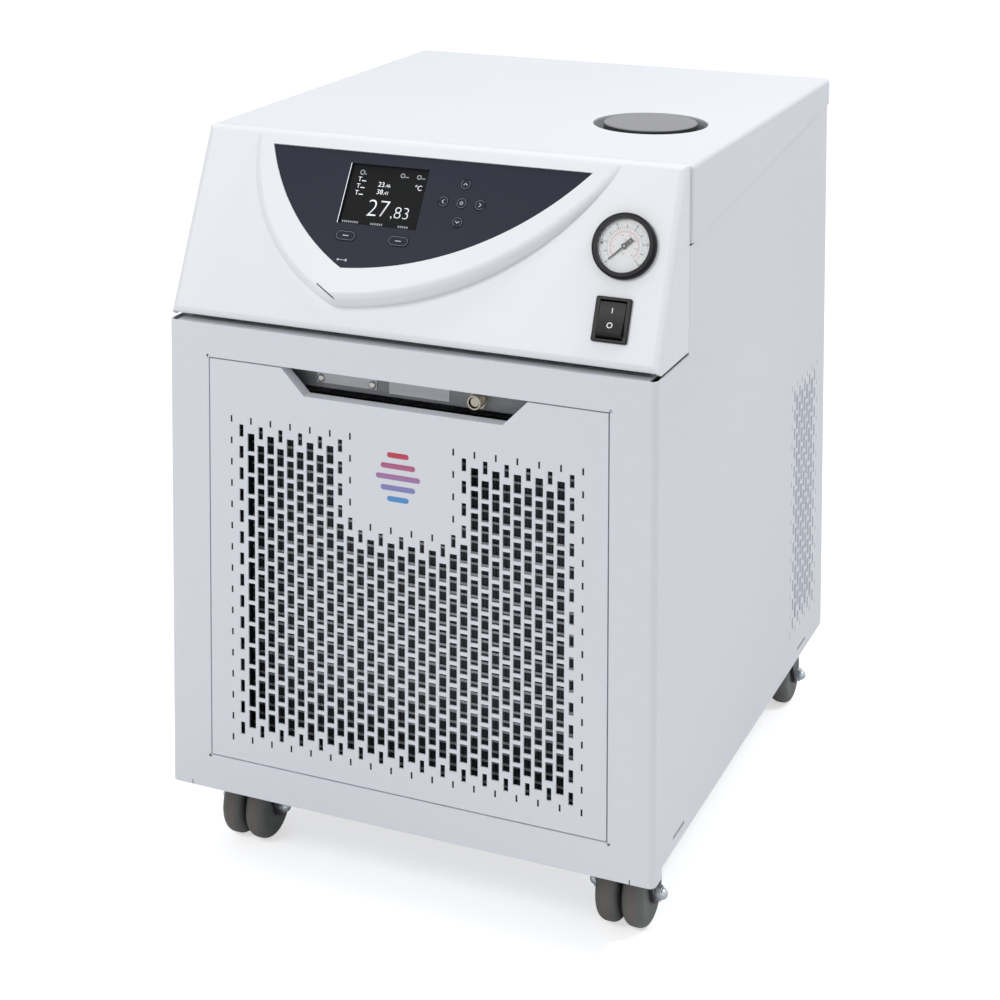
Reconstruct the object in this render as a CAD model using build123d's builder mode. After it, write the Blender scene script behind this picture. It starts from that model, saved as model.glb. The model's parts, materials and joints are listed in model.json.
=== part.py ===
from build123d import *
from math import cos, hypot, pi, radians, sin, tan
import os

# A floor-standing recirculating chiller on twin-wheel casters.
# Front faces -Y, +X is the right-hand side seen from the front, +Z is up.
# The origin is on the floor, under the middle of the overall box.

os.makedirs("parts", exist_ok=True)

# Cabinet
body_width = 450.0
body_depth = 546.0
overall_height = 650.0
front_bottom = 73.0
side_bottom = 82.0
front_band = 20.0
sheet = 1.5
bend_radius = 6.0
seat_gap = 0.3
nozzle_reach = 30.0
bezel_reach = 3.5

# Head moulding over the lower casing
gap_z = 491.5
seam = 2.0
head_slant = 24.7
head_depth = 82.0
head_wall = 3.0
head_joint = 0.6

# Lid
lid_overhang = 2.0
lid_skirt_front = 66.0
lid_skirt_back = 25.0
lid_return = 13.0
lid_bend = 4.0

# Door opening and grille door
door_half_width = 185.0
door_bottom = 103.7
door_top = 461.5
door_gap = 1.2
door_return = 12.0
notch_top_half = 114.8
notch_bottom_half = 91.8
notch_bottom = 438.2

# Perforation shared by the door and the side vents
slot_column_pitch = 9.56
slot_row_pitch = 9.5
slot_width = 6.8
slot_height = 16.0
edge_slot_width = 4.2
edge_slot_height = 11.0
door_slot_columns = 17
door_slot_rows = 30
door_slot_top = 409.5
window_half_columns = 4
window_rows = 7
vent_columns = 5
vent_rows = 26
vent_top = 364.0
vent_middle = 468.0

# Control panel: a raised shield on the slanted head
panel_tilt = 8.0
panel_height_on_head = 168.0
panel_raise = 1.5
bezel_round = 7.0
bezel_corner = 16.0
fascia_depth = 1.5
fascia_thickness = 2.0
fascia_ledge = 4.0
fascia_corner = 2.0
screen_width = 74.0
screen_height = 55.0
screen_x = -38.0
screen_v = -43.5
key_diameter = 9.5
key_clearance = 0.3
key_height = 3.2
key_proud = 0.6
nav_x = 35.0
nav_v = -43.0
nav_spread = 17.0
soft_key_width = 19.0
soft_key_height = 9.0
soft_key_x = -64.0
soft_key_spacing = 49.5
soft_key_v = -82.0

# Pressure gauge and mains switch on the head
gauge_x = 182.0
gauge_s = 104.5
gauge_flange_radius = 27.5
gauge_body_radius = 24.5
gauge_body_depth = 26.0
gauge_flange_height = 6.0
gauge_wall = 2.0
switch_x = 180.0
switch_s = 44.0
switch_frame_width = 31.0
switch_frame_height = 37.0
switch_frame_thickness = 2.5
switch_well_width = 23.0
switch_well_height = 32.0
switch_throw = 9.0

# Filler in the lid, over the reservoir
filler_x = 137.0
filler_from_front = 243.0
filler_opening_radius = 52.0
cap_radius = 42.5
cap_height = 17.0
cap_proud = 1.5
neck_radius = 33.0
neck_wall = 3.0
tray_depth = 17.0

# Base pan
pan_bottom = 84.0
pan_thickness = 2.0
pan_flange = 6.0

# Casters
caster_x = 179.0
caster_inset = 44.0
caster_trail = 28.0
wheel_radius = 30.0
wheel_width = 20.0
wheel_gap = 3.5
wheel_round = 8.0
axle_radius = 4.0
running = 0.05
fork_sheet = 3.0
fork_clearance = 0.75
plate_size = 60.0
king_pin_radius = 5.0

# Cooling side, behind the door
condenser_width = 330.0
condenser_height = 318.0
condenser_depth = 26.0
condenser_from_front = 42.0
tube_pitch = 9.5
tube_thickness = 2.0
shroud_depth = 42.0
fan_radius = 135.0
fan_clearance = 5.0
fan_hub_radius = 38.0
blade_count = 5

# Reservoir, pump, compressor
tank_width = 150.0
tank_depth = 250.0
tank_height = 180.0
tank_top = 600.0
tank_wall = 2.0
compressor_radius = 78.0
compressor_height = 190.0
pump_motor_radius = 48.0
pump_motor_length = 120.0

# Derived places
overall_depth = bezel_reach + body_depth + nozzle_reach
front_y = bezel_reach - overall_depth / 2
back_y = front_y + body_depth
half_width = body_width / 2
inner_x = half_width - sheet
slant = radians(head_slant)
head_bottom = gap_z + seam
lower_top = gap_z - 1.0
head_back = front_y + head_depth
pan_top = pan_bottom + pan_thickness
lid_inner_top = overall_height - sheet
front_plane = Plane.XZ.offset(-front_y)
head_plane = Plane((0, front_y, gap_z), x_dir=(1, 0, 0), z_dir=(0, -cos(slant), sin(slant)))
panel_slant = slant + radians(panel_tilt)
panel_origin = head_plane.from_local_coords((0, panel_height_on_head, panel_raise))
panel_plane = Plane(
    panel_origin, x_dir=(1, 0, 0), z_dir=(0, -cos(panel_slant), sin(panel_slant))
)
filler_y = front_y + filler_from_front


def slot_levels(half_columns, rows, window_columns=0, window_depth=0):
    """Yield column, row and border level of a staggered field of slots.

    Level 0 lies on the border, level 1 next to it, and 2 or more well inside.
    A window cut into the top edge has a border of its own.
    """
    for column in range(-half_columns, half_columns + 1):
        for row in range(rows + 1):
            if (column + half_columns + row) % 2:
                continue
            level = min(half_columns - abs(column), row, rows - row)
            if window_columns:
                beside = abs(column) - window_columns
                below = row - window_depth
                if beside <= 0 and below <= 0:
                    continue
                level = min(level, round(hypot(max(beside, 0), max(below, 0)) + 0.1) - 1)
            yield column, row, level


def slot_places(levels, wanted, column_pitch, row_pitch, top):
    """Places in a plane for the slots of one level, or of all inner ones."""
    return [
        (column * column_pitch, top - row * row_pitch)
        for column, row, level in levels
        if min(level, 2) == wanted
    ]


# Casing: front frame and both sides folded from one sheet
with BuildPart() as casing_wrap:
    with BuildSketch(Plane.XY.offset(front_bottom)) as wrap_plan:
        with Locations((0, front_y + body_depth / 2 - sheet / 2)):
            Rectangle(body_width, body_depth - sheet)
        fillet(wrap_plan.vertices().group_by(Axis.Y)[0], bend_radius)
    extrude(amount=lid_inner_top - front_bottom)
    with BuildSketch(Plane.XY.offset(front_bottom)) as wrap_inside:
        with Locations((0, front_y + sheet + body_depth / 2)):
            Rectangle(body_width - 2 * sheet, body_depth)
        fillet(wrap_inside.vertices().group_by(Axis.Y)[0], bend_radius - sheet)
    extrude(amount=lid_inner_top - front_bottom, mode=Mode.SUBTRACT)
    # Flanges: lid rest, head rest, rear panel rest and the bottom hem
    flange_width = 16.0
    for side in (-1, 1):
        with Locations((side * inner_x, front_y + head_depth + 10, lid_inner_top)):
            Box(
                flange_width, body_depth - head_depth - 10 - sheet, sheet,
                align=(Align.MAX if side > 0 else Align.MIN, Align.MIN, Align.MAX),
            )
        with Locations((side * inner_x, back_y - sheet, side_bottom)):
            Box(
                flange_width, sheet, lid_inner_top - side_bottom,
                align=(Align.MAX if side > 0 else Align.MIN, Align.MAX, Align.MIN),
            )
    with Locations((0, front_y + sheet, lower_top)):
        Box(2 * inner_x - 2 * bend_radius, 2 * flange_width, sheet,
            align=(Align.CENTER, Align.MIN, Align.MAX))
    hem_half = 204.0
    hem_width = 5.0
    with Locations((0, front_y + sheet, front_bottom)):
        Box(2 * hem_half, hem_width, sheet, align=(Align.CENTER, Align.MIN, Align.MIN))
    # The head stands on the lower front, and the sides step up behind it
    with Locations((0, front_y, lower_top)):
        Box(body_width, head_depth + head_joint, overall_height - lower_top,
            align=(Align.CENTER, Align.MIN, Align.MIN), mode=Mode.SUBTRACT)
    skirt_bottom = overall_height - lid_skirt_front
    with Locations((0, front_y, skirt_bottom - seam)):
        Box(body_width, head_depth + lid_return, lid_skirt_front + seam,
            align=(Align.CENTER, Align.MIN, Align.MIN), mode=Mode.SUBTRACT)
    with Locations((0, front_y + front_band, 0)):
        Box(body_width, body_depth, side_bottom,
            align=(Align.CENTER, Align.MIN, Align.MIN), mode=Mode.SUBTRACT)
    # Door opening with a folded return, and a relief hole in each corner
    with BuildSketch(front_plane):
        with Locations((0, (door_bottom + door_top) / 2)):
            Rectangle(2 * (door_half_width + sheet), door_top - door_bottom + 2 * sheet)
    return_depth = 16.0
    extrude(amount=-return_depth)
    with BuildSketch(front_plane):
        with Locations((0, (door_bottom + door_top) / 2)):
            Rectangle(2 * door_half_width, door_top - door_bottom)
    extrude(amount=-return_depth, mode=Mode.SUBTRACT)
    relief_radius = 1.6
    with BuildSketch(front_plane):
        with Locations(*[
            (side * (door_half_width + relief_radius / 2), z)
            for side in (-1, 1)
            for z in (door_bottom - relief_radius / 2, door_top + relief_radius / 2)
        ]):
            Circle(relief_radius)
    extrude(amount=-sheet, mode=Mode.SUBTRACT)
    # Catch blocks that hold the door by magnets
    catch = 12.0
    for side in (-1, 1):
        for z in (door_bottom, door_top - catch):
            with Locations((side * door_half_width, front_y + door_return, z)):
                Box(catch, return_depth - door_return, catch,
                    align=(Align.MAX if side > 0 else Align.MIN, Align.MIN, Align.MIN))
    # Side vents near the back
    vent_levels = list(slot_levels(vent_columns, vent_rows))
    side_plane = Plane.YZ.offset(-half_width)
    with BuildSketch(side_plane):
        with Locations(*[
            (front_y + vent_middle + y, z)
            for y, z in slot_places(
                vent_levels, 2, slot_column_pitch, slot_row_pitch, vent_top
            )
        ]):
            Rectangle(slot_width, slot_height)
        # Lifting slots close to the lower edge
        lift_slot_length = 30.0
        with Locations(*[(front_y + y, side_bottom + 10) for y in (65.0, 465.0)]):
            Rectangle(lift_slot_length, 3.0)
    extrude(amount=body_width, mode=Mode.SUBTRACT)
casing_wrap.part.label = "casing_wrap"
export_step(casing_wrap.part, "parts/casing_wrap.step")


# Base pan: a folded tray that carries everything
with BuildPart() as base_pan:
    pan_depth = body_depth - 2 * sheet - sheet
    pan_centre_y = front_y + sheet + pan_depth / 2
    with Locations((0, pan_centre_y, pan_bottom)):
        Box(2 * inner_x, pan_depth, pan_flange, align=(Align.CENTER, Align.CENTER, Align.MIN))
    with Locations((0, pan_centre_y, pan_top)):
        Box(2 * (inner_x - pan_thickness), pan_depth - 2 * pan_thickness, pan_flange,
            align=(Align.CENTER, Align.CENTER, Align.MIN), mode=Mode.SUBTRACT)
    fillet(base_pan.edges().filter_by(Axis.Z).group_by(Axis.Y)[0], bend_radius - sheet)
    # Condensate drain
    with Locations((60, front_y + 300, pan_bottom)):
        Cylinder(9, pan_thickness, align=(Align.CENTER, Align.CENTER, Align.MIN),
                 mode=Mode.SUBTRACT)
base_pan.part.label = "base_pan"
export_step(base_pan.part, "parts/base_pan.step")


# Rear panel: a flat sheet with long cooling slots, screwed to the casing
rear_slot_length = 60.0
rear_slot_pitch = 12.0
rear_slots_across = 18
rear_slot_z = 330.0
outlet_x = -150.0
return_x = -90.0
nozzle_z = 470.0
nozzle_hole_radius = 11.0
drain_x = 150.0
drain_z = 130.0
inlet_x = 150.0
inlet_z = 470.0
inlet_width = 28.0
inlet_height = 21.0
rear_plane = Plane((0, back_y, 0), x_dir=(1, 0, 0), z_dir=(0, -1, 0))
with BuildPart() as rear_panel:
    with BuildSketch(rear_plane):
        rear_top = overall_height - lid_skirt_back + 10
        with Locations((0, (rear_top + side_bottom) / 2)):
            Rectangle(body_width - 2 * bend_radius / 3, rear_top - side_bottom)
        with Locations((0, rear_slot_z)):
            with GridLocations(rear_slot_pitch, rear_slot_length + 14, rear_slots_across, 2):
                Rectangle(5.0, rear_slot_length, mode=Mode.SUBTRACT)
        with Locations((outlet_x, nozzle_z), (return_x, nozzle_z), (drain_x, drain_z)):
            Circle(nozzle_hole_radius, mode=Mode.SUBTRACT)
        with Locations((inlet_x, inlet_z)):
            Rectangle(inlet_width, inlet_height, mode=Mode.SUBTRACT)
    extrude(amount=sheet)
rear_panel.part.label = "rear_panel"
export_step(rear_panel.part, "parts/rear_panel.step")


# Lid: a folded cover whose skirt runs out towards the back
lid_front = head_back + seam
lid_back = back_y + lid_overhang
lid_half = half_width + lid_overhang
lid_low_front = overall_height - lid_skirt_front
lid_low_back = overall_height - lid_skirt_back
with BuildPart() as top_lid:
    with BuildSketch(Plane.YZ.offset(-lid_half)):
        with BuildLine():
            Polyline(
                (lid_front, lid_low_front), (lid_back, lid_low_back),
                (lid_back, overall_height), (lid_front, overall_height), close=True,
            )
        make_face()
    extrude(amount=2 * lid_half)
    fillet(top_lid.edges().filter_by(Axis.Z), lid_bend)
    fillet(top_lid.faces().sort_by(Axis.Z)[-1].edges().filter_by(Axis.Y), lid_bend)
    with Locations((0, lid_front + sheet, 0)):
        Box(2 * (lid_half - sheet), lid_back - lid_front - 2 * sheet, lid_inner_top,
            align=(Align.CENTER, Align.MIN, Align.MIN), mode=Mode.SUBTRACT)
    # The front stays open between the two folded returns, under a short lip
    with Locations((0, lid_front, 0)):
        Box(2 * (lid_half - lid_return), 4 * sheet, overall_height - lid_bend,
            align=(Align.CENTER, Align.CENTER, Align.MIN), mode=Mode.SUBTRACT)
    with Locations((filler_x, filler_y, lid_inner_top)):
        Cylinder(filler_opening_radius, sheet,
                 align=(Align.CENTER, Align.CENTER, Align.MIN), mode=Mode.SUBTRACT)
top_lid.part.label = "top_lid"
export_step(top_lid.part, "parts/top_lid.step")


# Head moulding: slanted face, cheeks and top strip in one shell
def head_outline(wall):
    """Corners of the head's side profile, moved inwards by a wall thickness."""
    run = wall / cos(slant)
    low = head_bottom - (wall and seam)
    high = overall_height - wall
    return [
        (front_y + run + (low - gap_z) * tan(slant), low),
        (front_y + run + (high - gap_z) * tan(slant), high),
        (head_back + (wall and seam), high),
        (head_back + (wall and seam), low),
    ]


bezel_points = [(-175, 3), (-142, -82.4), (-70, -139), (69, -98), (173, 3)]
fascia_points = [(-155, -5.5), (-110.5, -74), (-61, -111), (57, -78), (146, -5.5)]


def shield_line(points):
    """Shield outline: a straight top and an arc down each side to a low corner."""
    left, left_mid, low, right_mid, right = points
    with BuildLine() as outline:
        Line(right, left)
        ThreePointArc(left, left_mid, low)
        ThreePointArc(low, right_mid, right)
    return outline.line


def draw_shield(sketch, points, corner):
    """Draw a shield with a rounded low corner in the current sketch."""
    make_face(shield_line(points))
    fillet(sketch.vertices().sort_by(Axis.Y)[0], corner)


gauge_place = head_plane.from_local_coords((gauge_x, gauge_s, 0))
switch_place = head_plane.from_local_coords((switch_x, switch_s, 0))
gauge_plane = Plane(gauge_place, x_dir=head_plane.x_dir, z_dir=head_plane.z_dir)
switch_plane = Plane(switch_place, x_dir=head_plane.x_dir, z_dir=head_plane.z_dir)

with BuildPart() as head_moulding:
    with BuildSketch(Plane.YZ.offset(-half_width)):
        with BuildLine():
            Polyline(*head_outline(0), close=True)
        make_face()
    extrude(amount=body_width)
    slanted = head_moulding.faces().sort_by(Axis.Y)[0]
    fillet(slanted.edges(), bend_radius)
    with BuildSketch(Plane.YZ.offset(-half_width + head_wall)):
        with BuildLine():
            Polyline(*head_outline(head_wall), close=True)
        make_face()
    extrude(amount=body_width - 2 * head_wall, mode=Mode.SUBTRACT)
    # Pads that stand on the lower front, inside the open seam
    for side in (-1, 1):
        with Locations((side * (half_width - head_wall), front_y + 20, lower_top)):
            Box(head_wall * 3, head_wall * 4, head_bottom + seam - lower_top,
                align=(Align.MAX if side > 0 else Align.MIN, Align.MIN, Align.MIN))
    # Openings under the control panel, for the gauge and for the switch
    with BuildSketch(panel_plane) as panel_seat:
        draw_shield(panel_seat, fascia_points, fascia_corner)
    extrude(amount=-fascia_depth - fascia_thickness, mode=Mode.SUBTRACT)
    with BuildSketch(panel_plane) as panel_window:
        draw_shield(panel_window, fascia_points, fascia_corner)
        offset(amount=-fascia_ledge, kind=Kind.INTERSECTION)
    extrude(amount=-60, mode=Mode.SUBTRACT)
    with BuildSketch(gauge_plane):
        Circle(gauge_body_radius + key_clearance)
    extrude(amount=-4 * head_wall, mode=Mode.SUBTRACT)
    with BuildSketch(switch_plane):
        Rectangle(switch_well_width + 5, switch_well_height + 4)
    extrude(amount=-4 * head_wall, mode=Mode.SUBTRACT)
head_moulding.part.label = "head_moulding"
export_step(head_moulding.part, "parts/head_moulding.step")


# Display bezel: a soft raised shield, flush at the top and proud at its low corner
with BuildPart() as display_bezel:
    with BuildSketch(panel_plane) as bezel_face:
        draw_shield(bezel_face, bezel_points, bezel_corner)
    extrude(amount=-40)
    rim = display_bezel.faces().sort_by(Axis(panel_origin, panel_plane.z_dir))[-1]
    fillet(rim.edges().sort_by(Axis.Z)[:-1], bezel_round)
    # The slanted head cuts off what would lie behind its face
    with BuildSketch(head_plane):
        Rectangle(2 * body_width, 2 * body_width)
    extrude(amount=-100, mode=Mode.SUBTRACT)
    with BuildSketch(panel_plane) as fascia_seat:
        draw_shield(fascia_seat, fascia_points, fascia_corner)
    extrude(amount=-fascia_depth - fascia_thickness, mode=Mode.SUBTRACT)
    with BuildSketch(panel_plane) as bezel_window:
        draw_shield(bezel_window, fascia_points, fascia_corner)
        offset(amount=-fascia_ledge, kind=Kind.INTERSECTION)
    extrude(amount=-60, mode=Mode.SUBTRACT)
display_bezel.part.label = "display_bezel"
export_step(display_bezel.part, "parts/display_bezel.step")


# Fascia: dark plate in the bezel, with its screen window and key holes
screen_places = [(screen_x, screen_v)]
nav_places = {
    "key_up": (nav_x, nav_v + nav_spread),
    "key_down": (nav_x, nav_v - nav_spread),
    "key_left": (nav_x - nav_spread, nav_v),
    "key_right": (nav_x + nav_spread, nav_v),
    "key_enter": (nav_x, nav_v),
}
soft_places = {
    "soft_key_left": (soft_key_x, soft_key_v),
    "soft_key_right": (soft_key_x + soft_key_spacing, soft_key_v),
}
fascia_plane = panel_plane.offset(-fascia_depth)
fascia_back = panel_plane.offset(-fascia_depth - fascia_thickness)
with BuildPart() as control_fascia:
    with BuildSketch(fascia_plane) as fascia_outline:
        draw_shield(fascia_outline, fascia_points, fascia_corner)
        offset(amount=-seat_gap / 2, kind=Kind.INTERSECTION)
        with Locations(*screen_places):
            Rectangle(screen_width, screen_height, mode=Mode.SUBTRACT)
        with Locations(*nav_places.values()):
            Circle(key_diameter / 2 + key_clearance, mode=Mode.SUBTRACT)
        with Locations(*soft_places.values()):
            SlotOverall(soft_key_width + 2 * key_clearance,
                        soft_key_height + 2 * key_clearance, mode=Mode.SUBTRACT)
    extrude(amount=-fascia_thickness)
control_fascia.part.label = "control_fascia"
export_step(control_fascia.part, "parts/control_fascia.step")


# Display: a flat module behind the window, its screen stepped back
module_border = 6.0
module_depth = 8.0
screen_step = 1.0
with BuildPart() as display_module:
    with BuildSketch(fascia_back):
        with Locations(*screen_places):
            Rectangle(screen_width + 2 * module_border, screen_height + 2 * module_border)
    extrude(amount=-module_depth)
    with BuildSketch(fascia_back):
        with Locations(*screen_places):
            Rectangle(screen_width, screen_height)
    extrude(amount=-screen_step, mode=Mode.SUBTRACT)
display_module.part.label = "display_module"
export_step(display_module.part, "parts/display_module.step")


# Keys: each slides in its own hole
key_top = fascia_plane.offset(key_proud)
for name, place in nav_places.items():
    with BuildPart() as nav_key:
        with BuildSketch(key_top):
            with Locations(place):
                Circle(key_diameter / 2)
        extrude(amount=-key_height)
        top_face = nav_key.faces().filter_by(GeomType.PLANE).sort_by(Axis.Z)[-1]
        fillet(top_face.edges(), key_proud * 0.8)
    nav_key.part.label = name
    export_step(nav_key.part, f"parts/{name}.step")
for name, place in soft_places.items():
    with BuildPart() as soft_key:
        with BuildSketch(key_top):
            with Locations(place):
                SlotOverall(soft_key_width, soft_key_height)
        extrude(amount=-key_height)
        top_face = soft_key.faces().filter_by(GeomType.PLANE).sort_by(Axis.Z)[-1]
        fillet(top_face.edges(), key_proud * 0.8)
    soft_key.part.label = name
    export_step(soft_key.part, f"parts/{name}.step")


# Pressure gauge: a flanged cup with a dial, a pointer and a window
dial_thickness = 1.0
dial_height = 1.5
pointer_height = 2.2
window_thickness = 1.5
gauge_inside = gauge_body_radius - gauge_wall
with BuildPart() as gauge_case:
    with BuildSketch(gauge_plane.offset(gauge_flange_height)):
        Circle(gauge_flange_radius)
    extrude(amount=-gauge_flange_height)
    fillet(gauge_case.faces().sort_by(Axis.Y)[0].edges(), 2.0)
    with BuildSketch(gauge_plane):
        Circle(gauge_body_radius)
    extrude(amount=-gauge_body_depth)
    with BuildSketch(gauge_plane.offset(gauge_flange_height)):
        Circle(gauge_inside)
    extrude(amount=-gauge_flange_height + dial_height - dial_thickness, mode=Mode.SUBTRACT)
    # Pressure stem at the back
    with BuildSketch(gauge_plane.offset(-gauge_body_depth)):
        Circle(5.0)
    extrude(amount=-14)
gauge_case.part.label = "gauge_case"
export_step(gauge_case.part, "parts/gauge_case.step")

with BuildPart() as gauge_dial:
    with BuildSketch(gauge_plane.offset(dial_height)):
        Circle(gauge_inside - 0.1)
    extrude(amount=-dial_thickness)
    # Spindle that carries the pointer
    with BuildSketch(gauge_plane.offset(dial_height)):
        Circle(0.6)
    extrude(amount=pointer_height - dial_height + 0.7)
gauge_dial.part.label = "gauge_dial"
export_step(gauge_dial.part, "parts/gauge_dial.step")

pointer_length = 17.0
pointer_tail = 9.0
with BuildPart() as gauge_needle:
    with BuildSketch(gauge_plane.offset(pointer_height)):
        # The pointer rests on zero, at the lower left of the dial
        with Locations(Location((0, 0, 0), (0, 0, 1), 225)):
            with Locations((pointer_length / 2, 0)):
                Trapezoid(1.8, pointer_length, 88.5, rotation=-90)
            with Locations((-pointer_tail / 2, 0)):
                Rectangle(pointer_tail, 4.0)
        Circle(2.6)
        Circle(0.6 + running, mode=Mode.SUBTRACT)
    extrude(amount=0.6)
gauge_needle.part.label = "gauge_needle"
export_step(gauge_needle.part, "parts/gauge_needle.step")

with BuildPart() as gauge_window:
    with BuildSketch(gauge_plane.offset(gauge_flange_height - 0.5)):
        Circle(gauge_inside - 0.1)
    extrude(amount=-window_thickness)
gauge_window.part.label = "gauge_window"
export_step(gauge_window.part, "parts/gauge_window.step")


# Mains switch: a snap-in frame with a rocker on a cross pin
rocker_width = switch_well_width - 2 * seat_gap - 0.4
rocker_end_radius = switch_well_height / 2 - 0.4
rocker_top = 9.0
rocker_skirt = 3.0
pivot_depth = 4.0
pivot_radius = 1.5
with BuildPart() as switch_frame:
    with BuildSketch(switch_plane):
        RectangleRounded(switch_frame_width, switch_frame_height, 2.0)
    extrude(amount=switch_frame_thickness)
    fillet(switch_frame.faces().sort_by(Axis.Y)[0].edges(), 1.2)
    with BuildSketch(switch_plane):
        Rectangle(switch_well_width + 4, switch_well_height + 3)
    extrude(amount=-20)
    with BuildSketch(switch_plane.offset(switch_frame_thickness)):
        Rectangle(switch_well_width, switch_well_height)
    extrude(amount=-switch_frame_thickness - 14, mode=Mode.SUBTRACT)
    # Cross pin for the rocker
    with BuildSketch(Plane(switch_plane.from_local_coords((0, 0, -pivot_depth)),
                           x_dir=switch_plane.z_dir, z_dir=(1, 0, 0))):
        Circle(pivot_radius)
    extrude(amount=switch_well_width / 2 + 1, both=True)
switch_frame.part.label = "switch_frame"
export_step(switch_frame.part, "parts/switch_frame.step")

rocker_turn = radians(-switch_throw)
rocker_plane = Plane(
    switch_plane.from_local_coords((0, 0, -pivot_depth)),
    x_dir=switch_plane.y_dir * cos(rocker_turn) + switch_plane.z_dir * sin(rocker_turn),
    z_dir=(1, 0, 0),
)
with BuildPart() as switch_rocker:
    with BuildSketch(rocker_plane.offset(-rocker_width / 2)):
        Circle(rocker_end_radius)
        with Locations((0, (rocker_top - rocker_skirt) / 2)):
            Rectangle(2 * rocker_end_radius, rocker_top + rocker_skirt, mode=Mode.INTERSECT)
        # Hollow top, so that a finger finds each end
        hollow_radius = 60.0
        with Locations((0, rocker_top - 1.5 + hollow_radius)):
            Circle(hollow_radius, mode=Mode.SUBTRACT)
        Circle(pivot_radius + running, mode=Mode.SUBTRACT)
    extrude(amount=rocker_width)
switch_rocker.part.label = "switch_rocker"
export_step(switch_rocker.part, "parts/switch_rocker.step")


# Grille door: a perforated panel with a hand notch and a folded edge
door_width = 2 * (door_half_width - door_gap)
door_height = door_top - door_bottom - 2 * door_gap
door_middle = (door_top + door_bottom) / 2
notch_corners = [
    (-notch_top_half - 2, door_top + 2),
    (-notch_bottom_half, notch_bottom),
    (notch_bottom_half, notch_bottom),
    (notch_top_half + 2, door_top + 2),
]
door_levels = list(slot_levels(
    door_slot_columns, door_slot_rows, window_half_columns, window_rows
))


def door_places(level):
    """Places on the door for the slots of one level."""
    return slot_places(door_levels, level, slot_column_pitch, slot_row_pitch, door_slot_top)


def draw_door():
    """Outline of the door with its notch, in the current sketch."""
    with Locations((0, door_middle)):
        Rectangle(door_width, door_height)
    Polygon(*notch_corners, align=None, mode=Mode.SUBTRACT)


with BuildPart() as grille_door:
    # Folded edge, all round
    with BuildSketch(front_plane):
        draw_door()
    extrude(amount=-door_return)
    with BuildSketch(front_plane):
        draw_door()
        offset(amount=-sheet, kind=Kind.INTERSECTION)
    extrude(amount=-door_return, mode=Mode.SUBTRACT)
    # Perforated front
    with BuildSketch(front_plane):
        draw_door()
        with Locations(*door_places(2)):
            Rectangle(slot_width, slot_height, mode=Mode.SUBTRACT)
        with Locations(*door_places(1)):
            Rectangle(edge_slot_width, edge_slot_height, mode=Mode.SUBTRACT)
    extrude(amount=-sheet)
grille_door.part.label = "grille_door"
export_step(grille_door.part, "parts/grille_door.step")


# Interface plate behind the notch, hung under the head rest
interface_from_front = 22.0
interface_width = 240.0
interface_bottom = 441.0
interface_top = lower_top - sheet
connector_x = 62.0
connector_z = 450.0
connector_radius = 6.0
interface_y = front_y + interface_from_front
interface_plane = Plane.XZ.offset(-interface_y)
with BuildPart() as interface_plate:
    with BuildSketch(interface_plane):
        with Locations((0, (interface_bottom + interface_top) / 2)):
            Rectangle(interface_width, interface_top - interface_bottom)
        with Locations((connector_x, connector_z)):
            Circle(connector_radius + key_clearance, mode=Mode.SUBTRACT)
    extrude(amount=-sheet)
    # Lower lip turned back, to keep fingers off the fins
    with Locations((0, interface_y, interface_bottom)):
        Box(interface_width, condenser_from_front - interface_from_front - 4, sheet,
            align=(Align.CENTER, Align.MIN, Align.MIN))
interface_plate.part.label = "interface_plate"
export_step(interface_plate.part, "parts/interface_plate.step")

cover_x = -61.0
cover_width = 57.0
blank_x = 7.0
blank_width = 56.0
cover_screw_spacing = 49.0
cover_screw_z = 449.5
with BuildPart() as module_cover:
    with BuildSketch(interface_plane):
        with Locations((cover_x, cover_screw_z + 8)):
            Rectangle(cover_width, 24)
        with Locations((cover_x - cover_screw_spacing / 2, cover_screw_z),
                       (cover_x + cover_screw_spacing / 2, cover_screw_z)):
            Circle(1.6, mode=Mode.SUBTRACT)
    extrude(amount=1.0)
module_cover.part.label = "module_cover"
export_step(module_cover.part, "parts/module_cover.step")

with BuildPart() as blank_cover:
    with BuildSketch(interface_plane):
        with Locations((blank_x, 457.0)):
            Rectangle(blank_width, 26)
    extrude(amount=0.8)
blank_cover.part.label = "blank_cover"
export_step(blank_cover.part, "parts/blank_cover.step")

with BuildPart() as cover_screws:
    for side in (-1, 1):
        place = (cover_x + side * cover_screw_spacing / 2, cover_screw_z)
        with BuildSketch(interface_plane.offset(1.0)):
            with Locations(place):
                Circle(3.4)
        extrude(amount=2.2)
        with BuildSketch(interface_plane.offset(1.0)):
            with Locations(place):
                Circle(1.5)
        extrude(amount=-1.0)
    fillet(cover_screws.faces().group_by(Axis.Y)[0].edges(), 1.8)
cover_screws.part.label = "cover_screws"
export_step(cover_screws.part, "parts/cover_screws.step")

with BuildPart() as signal_connector:
    with BuildSketch(interface_plane.offset(12.0)):
        with Locations((connector_x, connector_z)):
            Circle(connector_radius)
    extrude(amount=-30)
    with BuildSketch(interface_plane):
        with Locations((connector_x, connector_z)):
            RegularPolygon(8.5, 6)
    extrude(amount=2.5)
    with BuildSketch(interface_plane.offset(12.0)):
        with Locations((connector_x, connector_z)):
            Circle(connector_radius - 1.2)
    extrude(amount=-8, mode=Mode.SUBTRACT)
    # Insert that carries the contacts
    with BuildSketch(interface_plane.offset(4.0)):
        with Locations((connector_x, connector_z)):
            Circle(connector_radius - 2.2)
    extrude(amount=6)
signal_connector.part.label = "signal_connector"
export_step(signal_connector.part, "parts/signal_connector.step")


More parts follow.
